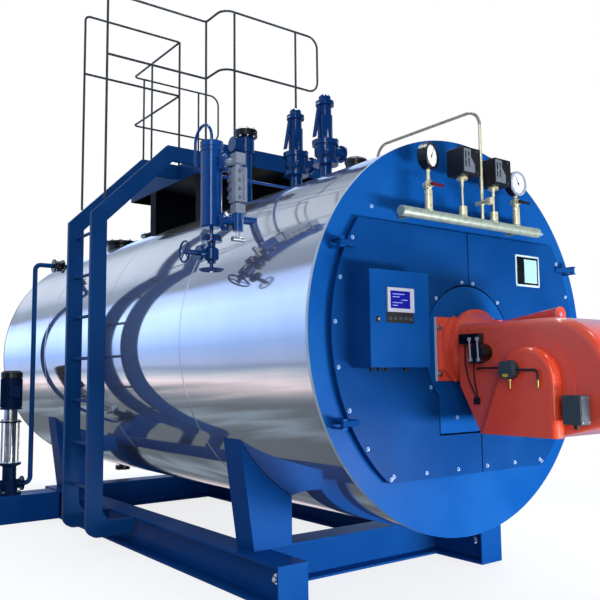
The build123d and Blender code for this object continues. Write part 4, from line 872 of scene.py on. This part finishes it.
def dial_gauge(name, turn, top_value, reading, bezel):
    """A dial gauge in its CAD node's place: case, rim, neck, dial, ticks on an arc of 270 degrees,
    numerals and needle. Each tick is one tick turned about the dial's axis."""
    low, high = extent(name)
    facing = np.array((math.sin(turn), -math.cos(turn), 0.0))
    right = np.cross(Z, facing)
    centre = np.array(((low[0] + high[0]) / 2, MANIFOLD_Y, high[2] - GAUGE_RADIUS))
    back = centre - facing * GAUGE_BACK
    body = turned([(0, 62), (2, 64), (10, 72), (49, 72)], back, facing, 64)
    piece(name + "_case", body, BLACK_ENAMEL, flat=35, replaces=[name])
    rim = turned([(48, 71.9), (57, 72), (59, 70), (58.6, 58.5), (55, 57), (48, 56.5)], back, facing, 64)
    piece(name + "_rim", rim, bezel, flat=35)
    neck = centre - (GAUGE_RADIUS + 10) * Z
    piece(name + "_neck", joined(bar(neck, neck + 12 * Z, 12, 24), nut(neck + 2 * Z, Z, 21, 9)), BRASS)
    face = back + facing * DIAL_FROM_BACK
    piece(name + "_dial", turned([(0, 63.2), (1, 63.2)], face, facing, 64), DIAL_WHITE)
    print_at = face + facing * 1.15

    def outward(share):
        """The direction on the dial of a share of the full scale."""
        angle = math.radians(225 - 270 * share)
        return math.cos(angle) * right + math.sin(angle) * Z

    marks = []
    for step in range(DIAL_STEPS + 1):
        out = outward(step / DIAL_STEPS)
        half, start = (0.45, 49.0) if step % 5 else (0.9, 44.0)
        points, faces = box((-half, half), (-0.12, 0.12), (start, 55.0))
        marks.append((print_at + points @ np.array((np.cross(out, facing), -facing, out)), faces))
        if step % 10 == 0:
            value = str(int(top_value * step / DIAL_STEPS))
            marks.append(numeral(value, 11, print_at + out * 35, right, Z))
    piece(name + "_marks", joined(*marks), DIAL_BLACK_AND_BORE_SHADE)
    out = outward(reading)
    needle = prism([(-18, -2.6), (-18, 2.6), (50, 0.5), (50, -0.5)], print_at + facing * 1.2, out,
                   np.cross(facing, out), 0.8)
    hub = turned([(0, 6.5), (2.4, 6.5), (3, 5)], print_at, facing, 24)
    piece(name + "_needle", joined(needle, hub), DIAL_BLACK_AND_BORE_SHADE)


dial_gauge("pressure_gauge_left", math.radians(16), 16, 0.62, BLACK_ENAMEL)
dial_gauge("pressure_gauge_right", 0.0, 4, 0.40, CAST_GREY)

# Pressure controllers

for name in ("pressure_controller_left", "pressure_controller_right"):
    low, high = extent(name)
    x, y, z = low
    top = high[2] - z
    plate = prism([(6, 12), (92, 12), (92, 60), (62, 96), (62, top - 10), (6, top - 10)], low, X, Z, 1.5)
    piece(name + "_plate", plate, LABEL_GREY, edge=0.6)
    scales = [box((x + at, x + at + 9), (y - 2.2, y - 1.2), (z + 40, high[2] - 26)) for at in (16, 40)]
    piece(name + "_scales", joined(*scales), DIAL_BLACK_AND_BORE_SHADE)
    pointers = [box((x + at - 2, x + at + 11), (y - 2.8, y - 1.8), (z + up, z + up + 3))
                for at, up in ((16, 78), (40, 92))]
    piece(name + "_pointers", joined(*pointers), PALE_PLASTIC)
    screws(name + "_screws", [(x + 116, y, z + 16), (x + 116, y, high[2] - 16)],
           [(0, 5), (2, 4.4), (2.6, 0)], steps=14)
    piece(name + "_knob", turned([(0, 9), (10, 9), (12, 7)], (x + 24, y + 50, high[2]), Z, 24),
          BLACK_PLASTIC)
    piece(name + "_gland", turned([(0, 11), (6, 11), (7, 9), (18, 9), (20, 6)],
                                  (high[0], y + 70, z + 34), X, 20), BLACK_PLASTIC)

# Cross pipe

for (name, side), end in zip(SIDES, (-600.0, 525.0)):
    piece("cross_pipe_cap_" + name,
          turned([(-26, 27.8), (-25, 28.4), (-3, 28.4), (0, 26), (0, 22)],
                 (end - side * 0.5, MANIFOLD_Y, MANIFOLD_HEIGHT), side * X, 32), GALVANISED)
welds = [bead((x, MANIFOLD_Y, MANIFOLD_HEIGHT + MANIFOLD_RADIUS - 4), Z, 20.5, 6)
         for x in (-396, 330, -130, 130)]
piece("cross_pipe_welds", joined(*welds), GALVANISED, flat=60)

# Level gauge and water column

GAUGE_BODY = (764.0, 964.0)
BOLT_ROWS = GAUGE_BODY[0] + 25 + 50 * np.arange(4)
piece("level_gauge_strip", box((gauge_x - 18.6, gauge_x + 18.6), (gauge_y - 38.2, gauge_y - 28),
                               inset(GAUGE_BODY, 9.6)), CAST_GREY, edge=1)
bolts("level_gauge_front_bolts", [(gauge_x, gauge_y - 38.2, z) for z in BOLT_ROWS], -Y, 17, 10)
bolts("level_gauge_side_bolts", [(gauge_x - 38.5, gauge_y, z) for z in BOLT_ROWS], -X, 17, 10)
COLUMN = np.array((-1122.0, 873.0, 0.0))
TOWARD_GAUGE = np.array((100.0, -125.0, 0.0)) / math.hypot(100, 125)
BRANCH_HEIGHTS = (660, 1004)
gaskets = []
for height in BRANCH_HEIGHTS:
    centre = COLUMN + height * Z
    gaskets.append(turned([(0, 54.5), (2.5, 54.5)], centre + 79 * TOWARD_GAUGE, TOWARD_GAUGE, 40))
    studs("branch_studs_%d" % height, circle(centre + 58 * TOWARD_GAUGE, TOWARD_GAUGE, 43, 4, 0.5),
          TOWARD_GAUGE, 44, 15)
gaskets.append(turned([(0, 59), (3, 59)], COLUMN + 562 * Z, Z, 40))
piece("branch_gaskets", joined(*gaskets), GASKET)
studs("blowdown_studs", circle(COLUMN + 538 * Z, Z, 49, 4, 0.5), Z, 52, 15)
for name, centre, axis in (("side", COLUMN + (-172, 0, 475), -X), ("bottom", COLUMN + 385 * Z, -Z)):
    piece(name + "_wheel_nut", nut(centre + 9 * axis, axis, 15, 8), ZINC, body=name + "_handwheel", flat=25)

# Safety valves, measured from the foot of each

VALVE_HEIGHT = 676

for name, y in (("front", 1221.0), ("rear", 1574.0)):
    valve = "safety_valve_" + name
    foot = np.array((0.0, y, extent(valve)[1][2] - VALVE_HEIGHT))
    outlet = foot + (152, 0, 270)
    pin = foot + (-62, 0, 606)
    bolts(valve + "_top_nuts", circle(foot + 340 * Z, Z, 78, 4, 0.5), Z, 19, 14, VALVE_BLUE)
    bolts(valve + "_base_nuts", circle(foot + 192 * Z, Z, 76, 8, 0.5), Z, 17, 12, VALVE_BLUE)
    bolts(valve + "_outlet_nuts", circle(outlet, X, 51, 4, 0.5), X, 14, 9, VALVE_BLUE)
    piece(valve + "_pin", bar(pin - 22 * Y, pin + 22 * Y, 6, 16, 1), ZINC)
    # A black disc in the outlet stands in for the shade inside it: painted shade
    piece(valve + "_bore", turned([(0, 36), (0.6, 36)], outlet, X, 32), DIAL_BLACK_AND_BORE_SHADE)

# Steam outlet, manhole, flue, drain and rear cover

OUTLET = np.array((-196.0, 1958.0, extent("steam_outlet")[1][2]))
RIM = [(0, 88), (1, 88.6), (21, 88.6), (22, 88)]
studs("steam_outlet_studs", circle(OUTLET - 62 * Z, Z, 74, 8, 0.5), Z, 78, 19)
piece("steam_outlet_gasket", turned([(0, 82), (4.2, 82)], OUTLET - 26.1 * Z, Z, 48), BLACK_ENAMEL)
piece("steam_outlet_rims", joined(*[turned(RIM, OUTLET - down * Z, Z, 64) for down in (22, 48)]),
      BLACK_ENAMEL)
# A black disc in the outlet stands in for the shade inside it: painted shade
piece("steam_outlet_bore", turned([(0, 40), (0.6, 40)], OUTLET, Z, 40), DIAL_BLACK_AND_BORE_SHADE)
x, y, z = spans("manhole_cover")
bolts("manhole_bolts", circle((x.mean(), y.mean(), z[1] - 18), Z, 172, 12), Z, 22, 15)
x, y, z = spans("flue_nozzle")
bolts("flue_bolts", circle((x.mean(), y.mean(), z[1] - 8), Z, 178, 12), Z, 18, 12)
handle = [(x[1] - 192 - left, y[0] + 192, z[1] + up) for left, up in ((40, -1), (40, 30), (0, 30), (0, -1))]
piece("flue_cover_handle", tube(rounded_path(handle, 12), 5), ZINC, flat=60)
x, y, z = spans("drain_nozzle")
studs("drain_studs", circle((x.mean(), y.mean(), z[0] - 4), Z, 60, 6), Z, 56, 15)
bolts("rear_cover_bolts", circle((0, extent("rear_plate")[1][1] - 14, 0), Y, 945, 28), Y, 18, 9)

# Tube ends

TUBE_PITCH = 118.0
TUBE_ROWS = -420.0 + TUBE_PITCH * math.sqrt(3) / 2 * np.arange(9)
TUBE_REACH = 1061.7 - 110.0
TUBE_TOP = 572
FURNACE_KEEP_OFF = 300.0 + TUBE_PITCH / 2
bores = []
sheet_face = extent("tube_sheet")[0][1]
for row, z in enumerate(TUBE_ROWS):
    for x in TUBE_PITCH * (np.arange(-8, 9) + 0.5 * (row % 2)):
        if (math.hypot(x, z) < TUBE_REACH and z < TUBE_TOP
                and math.hypot(x, z - BURNER_AXIS) > FURNACE_KEEP_OFF):
            bores.append(turned([(0, 25.5), (0.4, 25.5)], (x, sheet_face, z), -Y, 20))
# Black discs at the tube ends stand in for the shade inside the tubes: painted shade
piece("tube_bores", joined(*bores), DIAL_BLACK_AND_BORE_SHADE)

# Burner

BURNER_FACE = -52.3
RING_FACE = -74.3
bolts("burner_flange_bolts", [(x, BURNER_FACE, BURNER_AXIS + z) for x in (-258, 258)
                              for z in (-130, 113)], -Y, 18, 12)
bolts("burner_ring_bolts", circle((0, RING_FACE, BURNER_AXIS), -Y, 236, 4, 0.5), -Y, 12, 8,
      BURNER_RED)
motor_low, motor_high = extent("burner_motor")
piece("motor_end_cap", turned([(-8, 41.6), (-6, 42.6), (-1, 42), (0, 40), (0, 12), (1.5, 10), (1.5, 0)],
                              (185, motor_low[1] + 0.6, motor_high[2] - 42), -Y, 40), PALE_PLASTIC, flat=35)
x, y, z = spans("burner_junction_box")
piece("junction_cover", box((x[0] + 4, x[1] - 3), (y[0] - 3, y[0] + 2), inset(z, 4)), GREY_PLASTIC,
      edge=1.2)
screws("junction_screws", [(across, y[0] - 3, up) for across in inset(x, 12) for up in inset(z, 12)],
       [(0, 4), (1.6, 3.4), (2, 0)])
piece("junction_gland", turned([(0, 12), (5, 12), (6, 10), (18, 10), (21, 7)],
                               (x.mean(), y.mean(), z[0]), -Z, 20), BLACK_PLASTIC)
piece("burner_tag", box((-222.5, -220), (-766, -711), (-316, -264)), PALE_PLASTIC, edge=0.5)
x, y, z = spans("pressure_switch")
piece("switch_tag", box((x[0] - 1, x[0] + 1), (y.mean() - 16, y.mean() + 16), (z[0] + 12, z[0] + 26)),
      YELLOW, edge=0.4)
nipple = np.array((x.mean() + 8, y.mean(), z[0] - 2))
piece("switch_nipple", joined(bar(nipple + 4 * Z, nipple - 42 * Z, 6, 18, 1), nut(nipple, -Z, 17, 8)),
      YELLOW_BRASS, flat=30)
HOSE_END = np.array((-298.0, -690.0, -252.0))
rear_hose = rounded_path([(x.mean() + 6, y[1] - 2, -196), (-262, -440, -190), (-246, -300, -190),
                          (-221, -273, -194)], 30)
front_hose = rounded_path([(x.mean() + 6, y[0] + 2, -200), (-300, -694, -202), HOSE_END], 22)
piece("switch_hoses", joined(tube(rear_hose, 5), tube(front_hose, 6)), BLACK_PLASTIC, flat=60)
piece("switch_hose_end", joined(bar(HOSE_END + (-0.2, 0, 4), HOSE_END + (0.2, 0, -36), 6.6, 18, 1),
                                nut(HOSE_END - 4 * Z, -Z, 15, 7)), YELLOW_BRASS, flat=30)
actuator = extent("burner_actuator")[0][0]
links = [bar((actuator - 2, y, -40), (actuator - 2, y - 6, -150), 4, 12) for y in (-285, -335)]
links += [turned([(0, 10), (8, 10)], (actuator + 3, y, z), -X, 18) for y, z in
          ((-285, -44), (-335, -44), (-291, -148), (-341, -148))]
piece("actuator_links", joined(*links), CAST_GREY, flat=40)
piece("actuator_lever", box((actuator + 2, actuator + 10), (-372, -276), (-166, -158)), BLACK_ENAMEL,
      edge=1.0)

# Feed pump

PUMP = np.array((-1315.0, 4070.0, pump_foot))
fin_points, fin_faces = box((-1.5, 1.5), (80, 92.5), (756, 1006))
fins = [(fin_points @ np.array(Matrix.Rotation(a, 3, "Z")).T + PUMP, fin_faces)
        for a in np.arange(0, 2 * math.pi, math.pi / 16)]
piece("pump_motor_fins", joined(*fins), PUMP_BLUE)
box_points, box_faces = box((-46, 46), (-118, -78), (840, 940))
piece("pump_terminal_box", (box_points + PUMP, box_faces), PUMP_BLUE, edge=4)
for name, side in SIDES:
    bolts("pump_port_nuts_" + name, circle(PUMP + (side * 100, 0, 87), -side * X, 48, 4, 0.5),
          -side * X, 15, 9)
bolts("pump_foot_bolts", circle(PUMP + 22 * Z, Z, 86, 4, 0.5), Z, 16, 10)
bolts("pump_tie_nuts", circle(PUMP + 634 * Z, Z, 78, 4, 0.5), Z, 17, 12)
CHECK = middle("check_valve")
for name, side in SIDES:
    bolts("check_valve_nuts_" + name, circle(CHECK - side * 32 * X, side * X, 50, 4, 0.5),
          side * X, 13, 8)

# Ladder welds

RUNG_PITCH = 309
x, _, z = spans("ladder_rungs")
heights = z[0] + 12 + RUNG_PITCH * np.arange(7)
welds = [bead((x.mean(), face, height), way, 12, 5)
         for face, way in ((extent("ladder_stile_near")[1][1], Y), (extent("ladder_stile_far")[0][1], -Y))
         for height in heights]
piece("rung_welds", joined(*welds), LADDER_BLUE, flat=60)

bpy.context.scene.view_settings.view_transform = "Standard"
